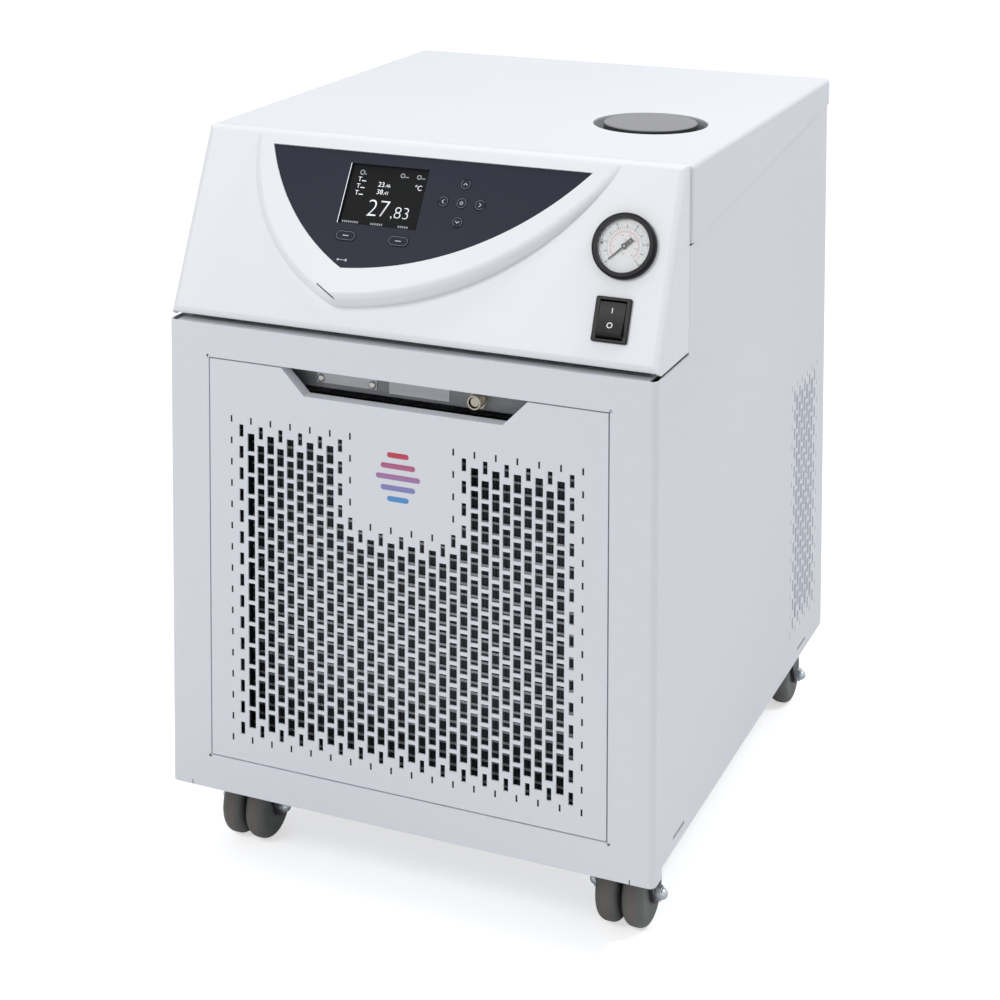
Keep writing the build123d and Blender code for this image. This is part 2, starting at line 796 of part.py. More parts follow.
# Filler: a moulded tray under the lid with a neck into the reservoir
tray_floor = lid_inner_top - tray_depth
tray_radius = filler_opening_radius - 3.0
neck_top = tray_floor + 9.0
with BuildPart() as filler_neck:
    with BuildSketch(Plane.XZ.offset(-filler_y)):
        with BuildLine():
            Polyline(
                (filler_x + neck_radius - neck_wall, tank_top - tank_wall - 6),
                (filler_x + neck_radius, tank_top - tank_wall - 6),
                (filler_x + neck_radius, tray_floor - 2),
                (filler_x + tray_radius + 2, tray_floor - 2),
                (filler_x + filler_opening_radius + 2, lid_inner_top - 2),
                (filler_x + filler_opening_radius + 9, lid_inner_top - 2),
                (filler_x + filler_opening_radius + 9, lid_inner_top),
                (filler_x + filler_opening_radius, lid_inner_top),
                (filler_x + tray_radius, tray_floor),
                (filler_x + neck_radius, tray_floor),
                (filler_x + neck_radius, neck_top),
                (filler_x + neck_radius - neck_wall, neck_top),
                close=True,
            )
        make_face()
    revolve(axis=Axis((filler_x, filler_y, 0), (0, 0, 1)))
filler_neck.part.label = "filler_neck"
export_step(filler_neck.part, "parts/filler_neck.step")

cap_top = overall_height + cap_proud
cap_floor = cap_top - cap_height
with BuildPart() as filler_cap:
    with BuildSketch(Plane.XY.offset(cap_floor)):
        with Locations((filler_x, filler_y)):
            Circle(cap_radius)
    extrude(amount=cap_height)
    fillet(filler_cap.faces().sort_by(Axis.Z)[-1].edges(), 1.5)
    with BuildSketch(Plane.XY.offset(cap_floor)):
        with Locations((filler_x, filler_y)):
            Circle(neck_radius + seat_gap)
    extrude(amount=neck_top - cap_floor, mode=Mode.SUBTRACT)
    # Shallow flutes round the side, for grip
    flute_count = 24
    with BuildSketch(Plane.XY.offset(cap_floor)):
        with Locations((filler_x, filler_y)):
            with PolarLocations(cap_radius + 0.6, flute_count):
                Circle(1.8)
    extrude(amount=cap_height - 4, mode=Mode.SUBTRACT)
filler_cap.part.label = "filler_cap"
export_step(filler_cap.part, "parts/filler_cap.step")


# Reservoir: a welded tank on a stand
tank_y = filler_y + 40
tank_x = inner_x - tank_width / 2 - 10
with BuildPart() as reservoir:
    with BuildSketch(Plane.XY.offset(tank_top - tank_height)):
        with Locations((tank_x, tank_y)):
            RectangleRounded(tank_width, tank_depth, 20)
    extrude(amount=tank_height)
    with BuildSketch(Plane.XY.offset(tank_top - tank_height + tank_wall)):
        with Locations((tank_x, tank_y)):
            RectangleRounded(tank_width - 2 * tank_wall, tank_depth - 2 * tank_wall,
                             20 - tank_wall)
    extrude(amount=tank_height - 2 * tank_wall, mode=Mode.SUBTRACT)
    with BuildSketch(Plane.XY.offset(tank_top)):
        with Locations((filler_x, filler_y)):
            Circle(neck_radius + seat_gap)
    extrude(amount=-tank_wall, mode=Mode.SUBTRACT)
    # Two folded legs down to the pan
    leg_width = 40.0
    for y in (tank_y - tank_depth / 2 + 40, tank_y + tank_depth / 2 - 40):
        with Locations((tank_x + tank_width / 2 - 22, y, pan_top)):
            Box(sheet, leg_width, tank_top - tank_height - pan_top,
                align=(Align.CENTER, Align.CENTER, Align.MIN))
        with Locations((tank_x - tank_width / 2 + 22, y, pan_top)):
            Box(sheet, leg_width, tank_top - tank_height - pan_top,
                align=(Align.CENTER, Align.CENTER, Align.MIN))
reservoir.part.label = "reservoir"
export_step(reservoir.part, "parts/reservoir.step")


# Condenser: flat tubes between two header pipes, with thin fins between them
condenser_y = front_y + condenser_from_front
condenser_bottom = pan_top + 14.0
header_radius = 11.0
tube_count = int((condenser_height - tube_pitch) / tube_pitch)
first_tube_z = condenser_bottom + tube_pitch
fin_inset = 1.5
with BuildPart() as condenser:
    # Fin pack, stepped back from the tubes
    with Locations((0, condenser_y + fin_inset, condenser_bottom)):
        Box(condenser_width, condenser_depth - 2 * fin_inset, condenser_height,
            align=(Align.CENTER, Align.MIN, Align.MIN))
    for index in range(tube_count):
        with Locations((0, condenser_y, first_tube_z + index * tube_pitch)):
            Box(condenser_width, condenser_depth, tube_thickness,
                align=(Align.CENTER, Align.MIN, Align.CENTER))
    # Headers at both ends, and a channel below and above
    with Locations(*[(side * (condenser_width / 2), condenser_y + condenser_depth / 2,
                      condenser_bottom - 4) for side in (-1, 1)]):
        Cylinder(header_radius, condenser_height + 8,
                 align=(Align.CENTER, Align.CENTER, Align.MIN))
    for z in (condenser_bottom - 2, condenser_bottom + condenser_height):
        with Locations((0, condenser_y, z)):
            Box(condenser_width, condenser_depth, 2,
                align=(Align.CENTER, Align.MIN, Align.MIN))
condenser.part.label = "condenser"
export_step(condenser.part, "parts/condenser.step")


# Fan cowl: a shallow duct that stands on the pan and carries the condenser
shroud_y = condenser_y + condenser_depth
shroud_width = condenser_width + 50.0
shroud_top = condenser_bottom + condenser_height + 2
fan_z = pan_top + (shroud_top - pan_top) / 2
with BuildPart() as fan_shroud:
    with Locations((0, shroud_y, pan_top)):
        Box(shroud_width, shroud_depth, shroud_top - pan_top,
            align=(Align.CENTER, Align.MIN, Align.MIN))
    with Locations((0, shroud_y, pan_top + sheet)):
        Box(shroud_width - 2 * sheet, shroud_depth - sheet, shroud_top - pan_top - 2 * sheet,
            align=(Align.CENTER, Align.MIN, Align.MIN), mode=Mode.SUBTRACT)
    with BuildSketch(Plane.XZ.offset(-shroud_y - shroud_depth)):
        with Locations((0, fan_z)):
            Circle(fan_radius + fan_clearance + sheet)
    extrude(amount=-14)
    with BuildSketch(Plane.XZ.offset(-shroud_y - shroud_depth - 14)):
        with Locations((0, fan_z)):
            Circle(fan_radius + fan_clearance)
    extrude(amount=30, mode=Mode.SUBTRACT)
    # Tabs behind the header pipes
    for side in (-1, 1):
        for z in (condenser_bottom + 30, shroud_top - 60):
            with Locations((side * shroud_width / 2, condenser_y, z)):
                Box(7.5, condenser_depth, 30,
                    align=(Align.MAX if side > 0 else Align.MIN, Align.MIN, Align.MIN))
fan_shroud.part.label = "fan_shroud"
export_step(fan_shroud.part, "parts/fan_shroud.step")


# Fan motor on a wire-like spider behind the cowl
motor_radius = 34.0
motor_length = 52.0
arm_width = 9.0
fan_back_y = shroud_y + shroud_depth + 14
spider_y = fan_back_y
with BuildPart() as fan_motor:
    with BuildSketch(Plane.XZ.offset(-spider_y)):
        with Locations((0, fan_z)):
            Circle(motor_radius + 6)
            with PolarLocations(0, 4, start_angle=45):
                with Locations(((fan_radius + fan_clearance + 1) / 2, 0)):
                    Rectangle(fan_radius + fan_clearance + 1, arm_width)
    extrude(amount=-3)
    with BuildSketch(Plane.XZ.offset(-spider_y - 3)):
        with Locations((0, fan_z)):
            Circle(motor_radius)
    extrude(amount=-motor_length)
    fillet(fan_motor.faces().sort_by(Axis.Y)[-1].edges(), 5)
    # Shaft towards the front
    fan_shaft_radius = 4.0
    with BuildSketch(Plane.XZ.offset(-spider_y)):
        with Locations((0, fan_z)):
            Circle(fan_shaft_radius)
    extrude(amount=36)
fan_motor.part.label = "fan_motor"
export_step(fan_motor.part, "parts/fan_motor.step")


# Fan rotor: pressed blades on a hub
fan_hub_length = 30.0
fan_back_gap = 4.0
fan_front_y = spider_y - fan_back_gap - fan_hub_length
blade_pitch = radians(22)
blade_tip = 0.93 * fan_radius
fan_centre = Vector(0, fan_front_y + fan_hub_length / 2, fan_z)
with BuildPart() as fan_rotor:
    with BuildSketch(Plane.XZ.offset(-fan_front_y)):
        with Locations((0, fan_z)):
            Circle(fan_hub_radius)
    extrude(amount=-fan_hub_length)
    fillet(fan_rotor.faces().sort_by(Axis.Y)[0].edges(), 4)
    for index in range(blade_count):
        turn = 2 * pi * index / blade_count
        outwards = Vector(cos(turn), 0, sin(turn))
        along = Vector(-sin(turn), 0, cos(turn)) * cos(blade_pitch)
        rise = Vector(0, -1, 0) * sin(blade_pitch)
        blade_plane = Plane(fan_centre, x_dir=outwards, z_dir=outwards.cross(along + rise))
        with BuildSketch(blade_plane):
            Polygon(
                (fan_hub_radius - 6, -24), (blade_tip, -38), (blade_tip, 34),
                (fan_hub_radius - 6, 22), align=None,
            )
        extrude(amount=0.8, both=True)
    with BuildSketch(Plane.XZ.offset(-fan_front_y)):
        with Locations((0, fan_z)):
            Circle(fan_shaft_radius + running)
    extrude(amount=-fan_hub_length, mode=Mode.SUBTRACT)
fan_rotor.part.label = "fan_rotor"
export_step(fan_rotor.part, "parts/fan_rotor.step")


# Compressor: a domed hermetic can on three feet
compressor_x = -115.0
compressor_y = front_y + 320.0
foot_height = 14.0
can_bottom = pan_top + foot_height
with BuildPart() as compressor:
    with BuildSketch(Plane.XY.offset(can_bottom)):
        with Locations((compressor_x, compressor_y)):
            Circle(compressor_radius)
    extrude(amount=compressor_height)
    fillet(compressor.edges(), 26)
    with BuildSketch(Plane.XY.offset(can_bottom + compressor_height / 2 - 3)):
        with Locations((compressor_x, compressor_y)):
            Circle(compressor_radius + 3)
    extrude(amount=6)
    for turn in (90, 210, 330):
        foot_x = compressor_x + (compressor_radius - 4) * cos(radians(turn))
        foot_y = compressor_y + (compressor_radius - 4) * sin(radians(turn))
        with Locations((foot_x, foot_y, pan_top)):
            Cylinder(11, foot_height + 30, align=(Align.CENTER, Align.CENTER, Align.MIN))
compressor.part.label = "compressor"
export_step(compressor.part, "parts/compressor.step")


# Evaporator: a brazed plate pack on the pan
evaporator_x = 20.0
evaporator_y = front_y + 330.0
evaporator_size = (76.0, 58.0, 240.0)
with BuildPart() as evaporator:
    with BuildSketch(Plane.XY.offset(pan_top)):
        with Locations((evaporator_x, evaporator_y)):
            RectangleRounded(evaporator_size[0], evaporator_size[1], 10)
    extrude(amount=evaporator_size[2])
    plate_groove = 3.0
    for index in range(8):
        groove_y = evaporator_y - evaporator_size[1] / 2 + 8 + index * 6
        with Locations((evaporator_x, groove_y, pan_top + evaporator_size[2])):
            Box(evaporator_size[0], plate_groove / 2, plate_groove,
                align=(Align.CENTER, Align.CENTER, Align.MAX), mode=Mode.SUBTRACT)
evaporator.part.label = "evaporator"
export_step(evaporator.part, "parts/evaporator.step")


# Reservoir pump: a motor and its housing under the tank
pump_y = tank_y - 60.0
pump_z = pan_top + pump_motor_radius + 12.0
pump_housing_length = 40.0
pump_front_plane = Plane.XZ.offset(-pump_y)
with BuildPart() as pump_motor:
    with BuildSketch(pump_front_plane):
        with Locations((tank_x, pump_z)):
            Circle(pump_motor_radius)
    extrude(amount=-pump_motor_length)
    fillet(pump_motor.faces().sort_by(Axis.Y)[0].edges(), 8)
    with Locations((tank_x, pump_y + pump_motor_length / 2, pan_top)):
        Box(60, pump_motor_length - 20, pump_z - pan_top,
            align=(Align.CENTER, Align.CENTER, Align.MIN))
pump_motor.part.label = "pump_motor"
export_step(pump_motor.part, "parts/pump_motor.step")

pump_housing_y = pump_y + pump_motor_length
pump_port_radius = 9.0
with BuildPart() as pump_housing:
    with BuildSketch(Plane.XZ.offset(-pump_housing_y)):
        with Locations((tank_x, pump_z)):
            Circle(pump_motor_radius - 6)
    extrude(amount=-pump_housing_length)
    fillet(pump_housing.faces().sort_by(Axis.Y)[-1].edges(), 6)
    with Locations((tank_x, pump_housing_y + pump_housing_length / 2, pump_z)):
        Cylinder(pump_port_radius, pump_motor_radius + 8,
                 align=(Align.CENTER, Align.CENTER, Align.MIN))
pump_housing.part.label = "pump_housing"
export_step(pump_housing.part, "parts/pump_housing.step")


def bent_tube(points, bends, radius):
    """A round tube along straight runs joined by arcs."""
    with BuildPart() as tube:
        with BuildLine() as route:
            FilletPolyline(*points, radius=bends)
        with BuildSketch(Plane(route.line @ 0, z_dir=route.line % 0)):
            Circle(radius)
        sweep(path=route.line)
    return tube.part


# Coolant hoses between tank, pump, evaporator and the rear nozzles
hose_radius = 9.0
port_y = pump_housing_y + pump_housing_length / 2
evaporator_top = pan_top + evaporator_size[2]
hose_end_y = back_y - 20.0
with BuildPart() as coolant_hoses:
    add(bent_tube([
        (tank_x, port_y, pump_z + pump_motor_radius + 8),
        (tank_x, port_y, (pump_z + tank_top - tank_height) / 2 + 40),
        (tank_x + 12, port_y, tank_top - tank_height - 20),
        (tank_x + 12, port_y, tank_top - tank_height),
    ], 12, hose_radius))
    add(bent_tube([
        (evaporator_x, evaporator_y + evaporator_size[1] / 2, evaporator_top - 30),
        (evaporator_x, evaporator_y + 90, evaporator_top - 30),
        (evaporator_x, evaporator_y + 90, nozzle_z),
        (outlet_x, evaporator_y + 90, nozzle_z),
        (outlet_x, hose_end_y, nozzle_z),
    ], 24, hose_radius))
    add(bent_tube([
        (return_x, hose_end_y, nozzle_z),
        (return_x, hose_end_y - 40, nozzle_z),
        (return_x, hose_end_y - 40, nozzle_z + 50),
        (20, hose_end_y - 40, nozzle_z + 50),
        (20, tank_y + 20, nozzle_z + 50),
        (tank_x - tank_width / 2, tank_y + 20, nozzle_z + 50),
    ], 20, hose_radius))
coolant_hoses.part.label = "coolant_hoses"
export_step(coolant_hoses.part, "parts/coolant_hoses.step")


# Refrigerant lines: hot gas, liquid and suction
line_radius = 5.0
header_y = condenser_y + condenser_depth / 2
header_top = condenser_bottom - 4 + condenser_height + 8
can_top = can_bottom + compressor_height
over_cowl = header_top + 14.0
beside_fan_y = fan_back_y + 18.0
with BuildPart() as refrigerant_lines:
    add(bent_tube([
        (compressor_x - 30, compressor_y, can_top),
        (compressor_x - 30, compressor_y, over_cowl),
        (compressor_x - 30, header_y, over_cowl),
        (-condenser_width / 2, header_y, over_cowl),
        (-condenser_width / 2, header_y, header_top),
    ], 9, line_radius))
    add(bent_tube([
        (condenser_width / 2, header_y, header_top),
        (condenser_width / 2, header_y, over_cowl),
        (condenser_width / 2, beside_fan_y, over_cowl),
        (condenser_width / 2, beside_fan_y, pan_top + 40),
        (evaporator_x, beside_fan_y, pan_top + 40),
        (evaporator_x, evaporator_y - evaporator_size[1] / 2, pan_top + 40),
    ], 9, line_radius))
    add(bent_tube([
        (evaporator_x, evaporator_y, evaporator_top),
        (evaporator_x, evaporator_y, can_top + 60),
        (compressor_x + 20, compressor_y + 30, can_top + 60),
        (compressor_x + 20, compressor_y + 30, can_top),
    ], 14, line_radius))
refrigerant_lines.part.label = "refrigerant_lines"
export_step(refrigerant_lines.part, "parts/refrigerant_lines.step")


# Electronics box, bolted to the left side wall
electronics_size = (150.0, 270.0, 150.0)
electronics_bottom = 455.0
with BuildPart() as electronics_box:
    with Locations((-inner_x, front_y + 110, electronics_bottom)):
        Box(*electronics_size, align=(Align.MIN, Align.MIN, Align.MIN))
    fillet(electronics_box.edges().filter_by(Axis.Z), 3)
    with Locations((-inner_x, front_y + 110, electronics_bottom + electronics_size[2])):
        Box(electronics_size[0] + 3, electronics_size[1] + 3, 4,
            align=(Align.MIN, Align.MIN, Align.MIN))
electronics_box.part.label = "electronics_box"
export_step(electronics_box.part, "parts/electronics_box.step")


# Rear nozzles for the coolant circuit
nozzle_radius = 10.0
nozzle_bore = 7.0
collar_radius = 16.0
rear_outside = Plane((0, back_y, 0), x_dir=(-1, 0, 0), z_dir=(0, 1, 0))
with BuildPart() as pump_nozzles:
    for x in (outlet_x, return_x):
        with BuildSketch(rear_outside):
            with Locations((-x, nozzle_z)):
                RegularPolygon(collar_radius, 6)
        extrude(amount=8)
        with BuildSketch(rear_outside.offset(-20)):
            with Locations((-x, nozzle_z)):
                Circle(nozzle_radius)
        extrude(amount=20 + nozzle_reach)
        with BuildSketch(rear_outside.offset(-sheet)):
            with Locations((-x, nozzle_z)):
                RegularPolygon(collar_radius, 6)
        extrude(amount=-6)
        with BuildSketch(rear_outside.offset(-20)):
            with Locations((-x, nozzle_z)):
                Circle(nozzle_bore)
        extrude(amount=20 + nozzle_reach, mode=Mode.SUBTRACT)
pump_nozzles.part.label = "pump_nozzles"
export_step(pump_nozzles.part, "parts/pump_nozzles.step")


# Drain tap with a quarter-turn handle
tap_block = 20.0
tap_stem_radius = 3.0
tap_y = back_y + 13.0
tap_stem_top = drain_z + tap_block / 2 + 10
with BuildPart() as drain_tap:
    with Locations((drain_x, back_y + 3, drain_z)):
        Box(tap_block, tap_block, tap_block, align=(Align.CENTER, Align.MIN, Align.CENTER))
    fillet(drain_tap.edges().filter_by(Axis.Y), 3)
    with BuildSketch(rear_outside):
        with Locations((-drain_x, drain_z)):
            Circle(nozzle_hole_radius + 3)
    extrude(amount=3)
    with BuildSketch(rear_outside.offset(-18)):
        with Locations((-drain_x, drain_z)):
            Circle(nozzle_hole_radius - seat_gap)
    extrude(amount=18)
    with BuildSketch(rear_outside):
        with Locations((-drain_x, drain_z)):
            Circle(7.0)
    extrude(amount=nozzle_reach)
    with BuildSketch(rear_outside.offset(8)):
        with Locations((-drain_x, drain_z)):
            Circle(4.5)
    extrude(amount=nozzle_reach, mode=Mode.SUBTRACT)
    stem_bottom = drain_z + tap_block / 2 - 2
    with BuildSketch(Plane.XY.offset(stem_bottom)):
        with Locations((drain_x, tap_y)):
            Circle(tap_stem_radius)
    extrude(amount=tap_stem_top - stem_bottom)
drain_tap.part.label = "drain_tap"
export_step(drain_tap.part, "parts/drain_tap.step")

handle_length = 34.0
with BuildPart() as drain_handle:
    with BuildSketch(Plane.XY.offset(drain_z + tap_block / 2 + 1)):
        with Locations((drain_x, tap_y)):
            Circle(6.5)
    extrude(amount=8)
    with BuildSketch(Plane.XY.offset(drain_z + tap_block / 2 + 4)):
        with Locations((drain_x - handle_length / 2, tap_y)):
            SlotOverall(handle_length, 8)
    extrude(amount=4)
    with BuildSketch(Plane.XY.offset(drain_z + tap_block / 2 + 1)):
        with Locations((drain_x, tap_y)):
            Circle(tap_stem_radius + running)
    extrude(amount=9, mode=Mode.SUBTRACT)
drain_handle.part.label = "drain_handle"
export_step(drain_handle.part, "parts/drain_handle.step")


# Mains inlet in the rear panel
with BuildPart() as mains_inlet:
    with BuildSketch(rear_outside):
        with Locations((-inlet_x, inlet_z)):
            RectangleRounded(inlet_width + 20, inlet_height + 6, 3)
    extrude(amount=3)
    with BuildSketch(rear_outside):
        with Locations((-inlet_x, inlet_z)):
            Rectangle(inlet_width - seat_gap, inlet_height - seat_gap)
    extrude(amount=-22)
    with BuildSketch(rear_outside.offset(3)):
        with Locations((-inlet_x, inlet_z)):
            Rectangle(24.5, 17)
    extrude(amount=-20, mode=Mode.SUBTRACT)
    # Three flat contacts
    with BuildSketch(rear_outside.offset(-17)):
        with Locations((-inlet_x - 7, inlet_z - 2), (-inlet_x + 7, inlet_z - 2),
                       (-inlet_x, inlet_z + 2)):
            Rectangle(2, 4)
    extrude(amount=14)
mains_inlet.part.label = "mains_inlet"
export_step(mains_inlet.part, "parts/mains_inlet.step")


# Casters: plates under the pan, swivelling forks and twin wheels
caster_front_y = front_y + caster_inset
caster_back_y = back_y - caster_inset
caster_places = {
    "front_left": (-caster_x, caster_front_y),
    "front_right": (caster_x, caster_front_y),
    "rear_left": (-caster_x, caster_back_y),
    "rear_right": (caster_x, caster_back_y),
}
plate_thickness = 3.0
raceway_radius = 24.0
raceway_height = 4.0
plate_bottom = pan_bottom - plate_thickness
fork_top = plate_bottom - raceway_height - seat_gap
fork_half = wheel_gap / 2 + wheel_width + fork_clearance
rivet_head = 3.0
with BuildPart() as caster_plates:
    for x, y in caster_places.values():
        with BuildSketch(Plane.XY.offset(plate_bottom)):
            with Locations((x, y)):
                RectangleRounded(plate_size, plate_size, 6)
        extrude(amount=plate_thickness)
        with BuildSketch(Plane.XY.offset(plate_bottom)):
            with Locations((x, y)):
                Circle(raceway_radius)
        extrude(amount=-raceway_height)
        pin_length = plate_bottom - fork_top + fork_sheet + seat_gap
        with BuildSketch(Plane.XY.offset(plate_bottom)):
            with Locations((x, y)):
                Circle(king_pin_radius)
        extrude(amount=-pin_length)
        with BuildSketch(Plane.XY.offset(plate_bottom - pin_length)):
            with Locations((x, y)):
                Circle(king_pin_radius + 4)
        extrude(amount=-rivet_head)
caster_plates.part.label = "caster_plates"
export_step(caster_plates.part, "parts/caster_plates.step")

nut_radius = 6.5
brake_shaft_radius = 2.5
brake_shaft_z = 2 * wheel_radius + 5.0
for name, (x, y) in caster_places.items():
    axle_y = y + caster_trail
    has_brake = name.startswith("front")
    with BuildPart() as caster_fork:
        with BuildSketch(Plane.XY.offset(fork_top)):
            with Locations((x, y)):
                Circle(raceway_radius + 1)
            with Locations((x, y + raceway_radius / 2)):
                Rectangle(2 * (fork_half + fork_sheet), raceway_radius)
            with Locations((x, y)):
                Circle(king_pin_radius + running, mode=Mode.SUBTRACT)
        extrude(amount=-fork_sheet)
        for side in (-1, 1):
            leg_plane = Plane.YZ.offset(x + side * (fork_half + (fork_sheet if side < 0 else 0)))
            with BuildSketch(leg_plane):
                with Locations((y + raceway_radius / 2, fork_top - 2)):
                    Rectangle(raceway_radius, 4)
                with Locations((axle_y, wheel_radius)):
                    Circle(9)
                make_hull()
                if has_brake:
                    with Locations((axle_y - 8, brake_shaft_z)):
                        Circle(brake_shaft_radius + running, mode=Mode.SUBTRACT)
            extrude(amount=fork_sheet)
        # Axle bolt with a domed nut at each end
        axle_half = fork_half + fork_sheet
        with BuildSketch(Plane.YZ.offset(x - axle_half)):
            with Locations((axle_y, wheel_radius)):
                Circle(axle_radius)
        extrude(amount=2 * axle_half)
        for side in (-1, 1):
            with BuildSketch(Plane.YZ.offset(x + side * axle_half)):
                with Locations((axle_y, wheel_radius)):
                    RegularPolygon(nut_radius, 6)
            extrude(amount=side * 4)
            with Locations((x + side * (axle_half + 4), axle_y, wheel_radius)):
                Sphere(nut_radius - 1.5)
    caster_fork.part.label = f"caster_fork_{name}"
    export_step(caster_fork.part, f"parts/caster_fork_{name}.step")
    for half, side in (("left", -1), ("right", 1)):
        inner = x + side * wheel_gap / 2
        with BuildPart() as wheel:
            with BuildSketch(Plane.YZ.offset(min(inner, inner + side * wheel_width))):
                with Locations((axle_y, wheel_radius)):
                    Circle(wheel_radius)
            extrude(amount=wheel_width)
            fillet(wheel.edges(), wheel_round)
            with BuildSketch(Plane.YZ.offset(min(inner, inner + side * wheel_width))):
                with Locations((axle_y, wheel_radius)):
                    Circle(axle_radius + running)
            extrude(amount=wheel_width, mode=Mode.SUBTRACT)
        wheel.part.label = f"wheel_{name}_{half}"
        export_step(wheel.part, f"parts/wheel_{name}_{half}.step")
    if has_brake:
        shaft_y = axle_y - 8
        shaft_reach = axle_half + 6
        with BuildPart() as brake_lever:
            with BuildSketch(Plane.YZ.offset(x - shaft_reach)):
                with Locations((shaft_y, brake_shaft_z)):
                    Circle(brake_shaft_radius)
            extrude(amount=2 * shaft_reach)
            # Pedal on the left, a short crank on the right
            with Locations((x - axle_half - 1, shaft_y, brake_shaft_z)):
                Box(9, 16, 4, align=(Align.MAX, Align.CENTER, Align.CENTER))
            with Locations((x + axle_half + 1, shaft_y, brake_shaft_z)):
                Box(8, 9, 6, align=(Align.MIN, Align.CENTER, Align.CENTER))
        brake_lever.part.label = f"brake_lever_{name}"
        export_step(brake_lever.part, f"parts/brake_lever_{name}.step")
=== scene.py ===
import json
import math
import bmesh
import bpy
from mathutils import Matrix, Vector


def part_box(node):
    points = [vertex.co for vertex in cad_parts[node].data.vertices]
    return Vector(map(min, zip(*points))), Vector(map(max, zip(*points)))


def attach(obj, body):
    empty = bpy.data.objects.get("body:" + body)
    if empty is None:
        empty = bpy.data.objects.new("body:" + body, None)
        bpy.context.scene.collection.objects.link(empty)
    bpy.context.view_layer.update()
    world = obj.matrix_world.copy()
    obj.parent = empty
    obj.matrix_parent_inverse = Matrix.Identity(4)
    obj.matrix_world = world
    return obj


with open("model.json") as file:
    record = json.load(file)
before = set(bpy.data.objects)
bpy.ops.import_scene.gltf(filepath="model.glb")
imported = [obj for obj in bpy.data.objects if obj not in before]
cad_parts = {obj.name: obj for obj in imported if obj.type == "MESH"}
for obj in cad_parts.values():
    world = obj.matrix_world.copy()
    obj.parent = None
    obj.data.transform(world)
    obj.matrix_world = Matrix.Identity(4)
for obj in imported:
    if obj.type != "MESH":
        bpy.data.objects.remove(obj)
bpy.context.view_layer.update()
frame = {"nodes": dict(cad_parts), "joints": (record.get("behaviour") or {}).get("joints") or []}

# Cabinet sheet: casing, lid, rear panel and door are folded from steel sheet and powder coated
# in a cool white. Baked powder has a fine orange peel and a soft, broad highlight.
sheet_white = (0.800, 0.815, 0.850)
sheet_white_low = (0.780, 0.797, 0.836)
powder_roughness = 0.42
powder_grain = 900.0
powder_relief = 0.00003
colour_drift = 3.0
drift_band = (0.35, 0.65)


def add_node(tree, kind, inputs=None, **settings):
    """Adds a node, sets its options, and sets or links its inputs by name or number."""
    made = tree.nodes.new(kind)
    for name, value in settings.items():
        setattr(made, name, value)
    for key, value in (inputs or {}).items():
        if isinstance(value, bpy.types.NodeSocket):
            tree.links.new(value, made.inputs[key])
        else:
            made.inputs[key].default_value = value
    return made


def finish(name, colour, roughness, metallic=0.0, gloss=0.5):
    """A material of one plain finish, with its node tree and its shader."""
    material = bpy.data.materials.new(name)
    material.use_nodes = True
    tree = material.node_tree
    shader = tree.nodes["Principled BSDF"]
    shader.inputs["Base Color"].default_value = (*colour, 1.0)
    shader.inputs["Roughness"].default_value = roughness
    shader.inputs["Metallic"].default_value = metallic
    shader.inputs["Specular IOR Level"].default_value = gloss
    return material, tree, shader


def own_place(tree):
    """Object coordinates, for patterns in real distances."""
    return add_node(tree, "ShaderNodeTexCoord").outputs["Object"]


def grained(tree, shader, scale, relief, stretch=(1.0, 1.0, 1.0)):
    """Fine relief of a finish, in real distances, from a noise on Object coordinates."""
    place = add_node(tree, "ShaderNodeMapping", {
        "Vector": own_place(tree), "Scale": stretch}).outputs[0]
    noise = add_node(tree, "ShaderNodeTexNoise", {"Vector": place, "Scale": scale, "Detail": 3.0})
    bump = add_node(tree, "ShaderNodeBump", {
        "Height": noise.outputs["Fac"], "Strength": 1.0, "Distance": relief})
    tree.links.new(bump.outputs["Normal"], shader.inputs["Normal"])
    return noise.outputs["Fac"]


def varied(tree, shader, fac, low, high):
    """Lets a shader's colour drift between two values with a pattern."""
    ramp = add_node(tree, "ShaderNodeValToRGB", {"Fac": fac})
    for stop, value, position in zip(ramp.color_ramp.elements, (low, high), drift_band):
        stop.color = (*value, 1.0)
        stop.position = position
    tree.links.new(ramp.outputs["Color"], shader.inputs["Base Color"])


def dress(material, *names):
    """Gives CAD nodes their finished material."""
    for name in names:
        for slot in frame["nodes"][name].material_slots:
            slot.material = material


powder_coat, tree, shader = finish("powder_coat", sheet_white, powder_roughness)
grained(tree, shader, powder_grain, powder_relief)
soft_noise = add_node(tree, "ShaderNodeTexNoise", {"Vector": own_place(tree), "Scale": colour_drift})
varied(tree, shader, soft_noise.outputs["Fac"], sheet_white_low, sheet_white)
dress(powder_coat, "casing_wrap", "top_lid", "rear_panel", "grille_door")

# Small slots: round the perforated fields the punch leaves narrow and tiny slots that fade the pattern
# out.
# They are thin marks on the sheet in painted shade: those of the door are painted near black, as dark
# as its holes, and those of the sides a paler grey, the mat behind them seen in shade.
column_pitch = 0.00956
row_pitch = 0.0095
tiny_slot = (0.0016, 0.0058)
narrow_slot = (0.0042, 0.011)
door_columns = 17
door_rows = 30
door_top_row = 0.4095
window_columns = 4
window_rows = 7
vent_columns = 5
vent_rows = 26
vent_top_row = 0.364
vent_middle = 0.468
mark_depth = 0.0001
mark_proud = 0.00004
mark_grain = (600.0, 0.00002)
window_corner = 0.1

casing_low, casing_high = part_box("casing_wrap")
front_y = casing_low.y
side_x = casing_high.x
# Painted shade: near black for what is seen in holes, cuts and the socket.
painted_hole_shade, tree, shader = finish("painted_hole_shade", (0.012, 0.012, 0.014), 0.9)
grained(tree, shader, *mark_grain)


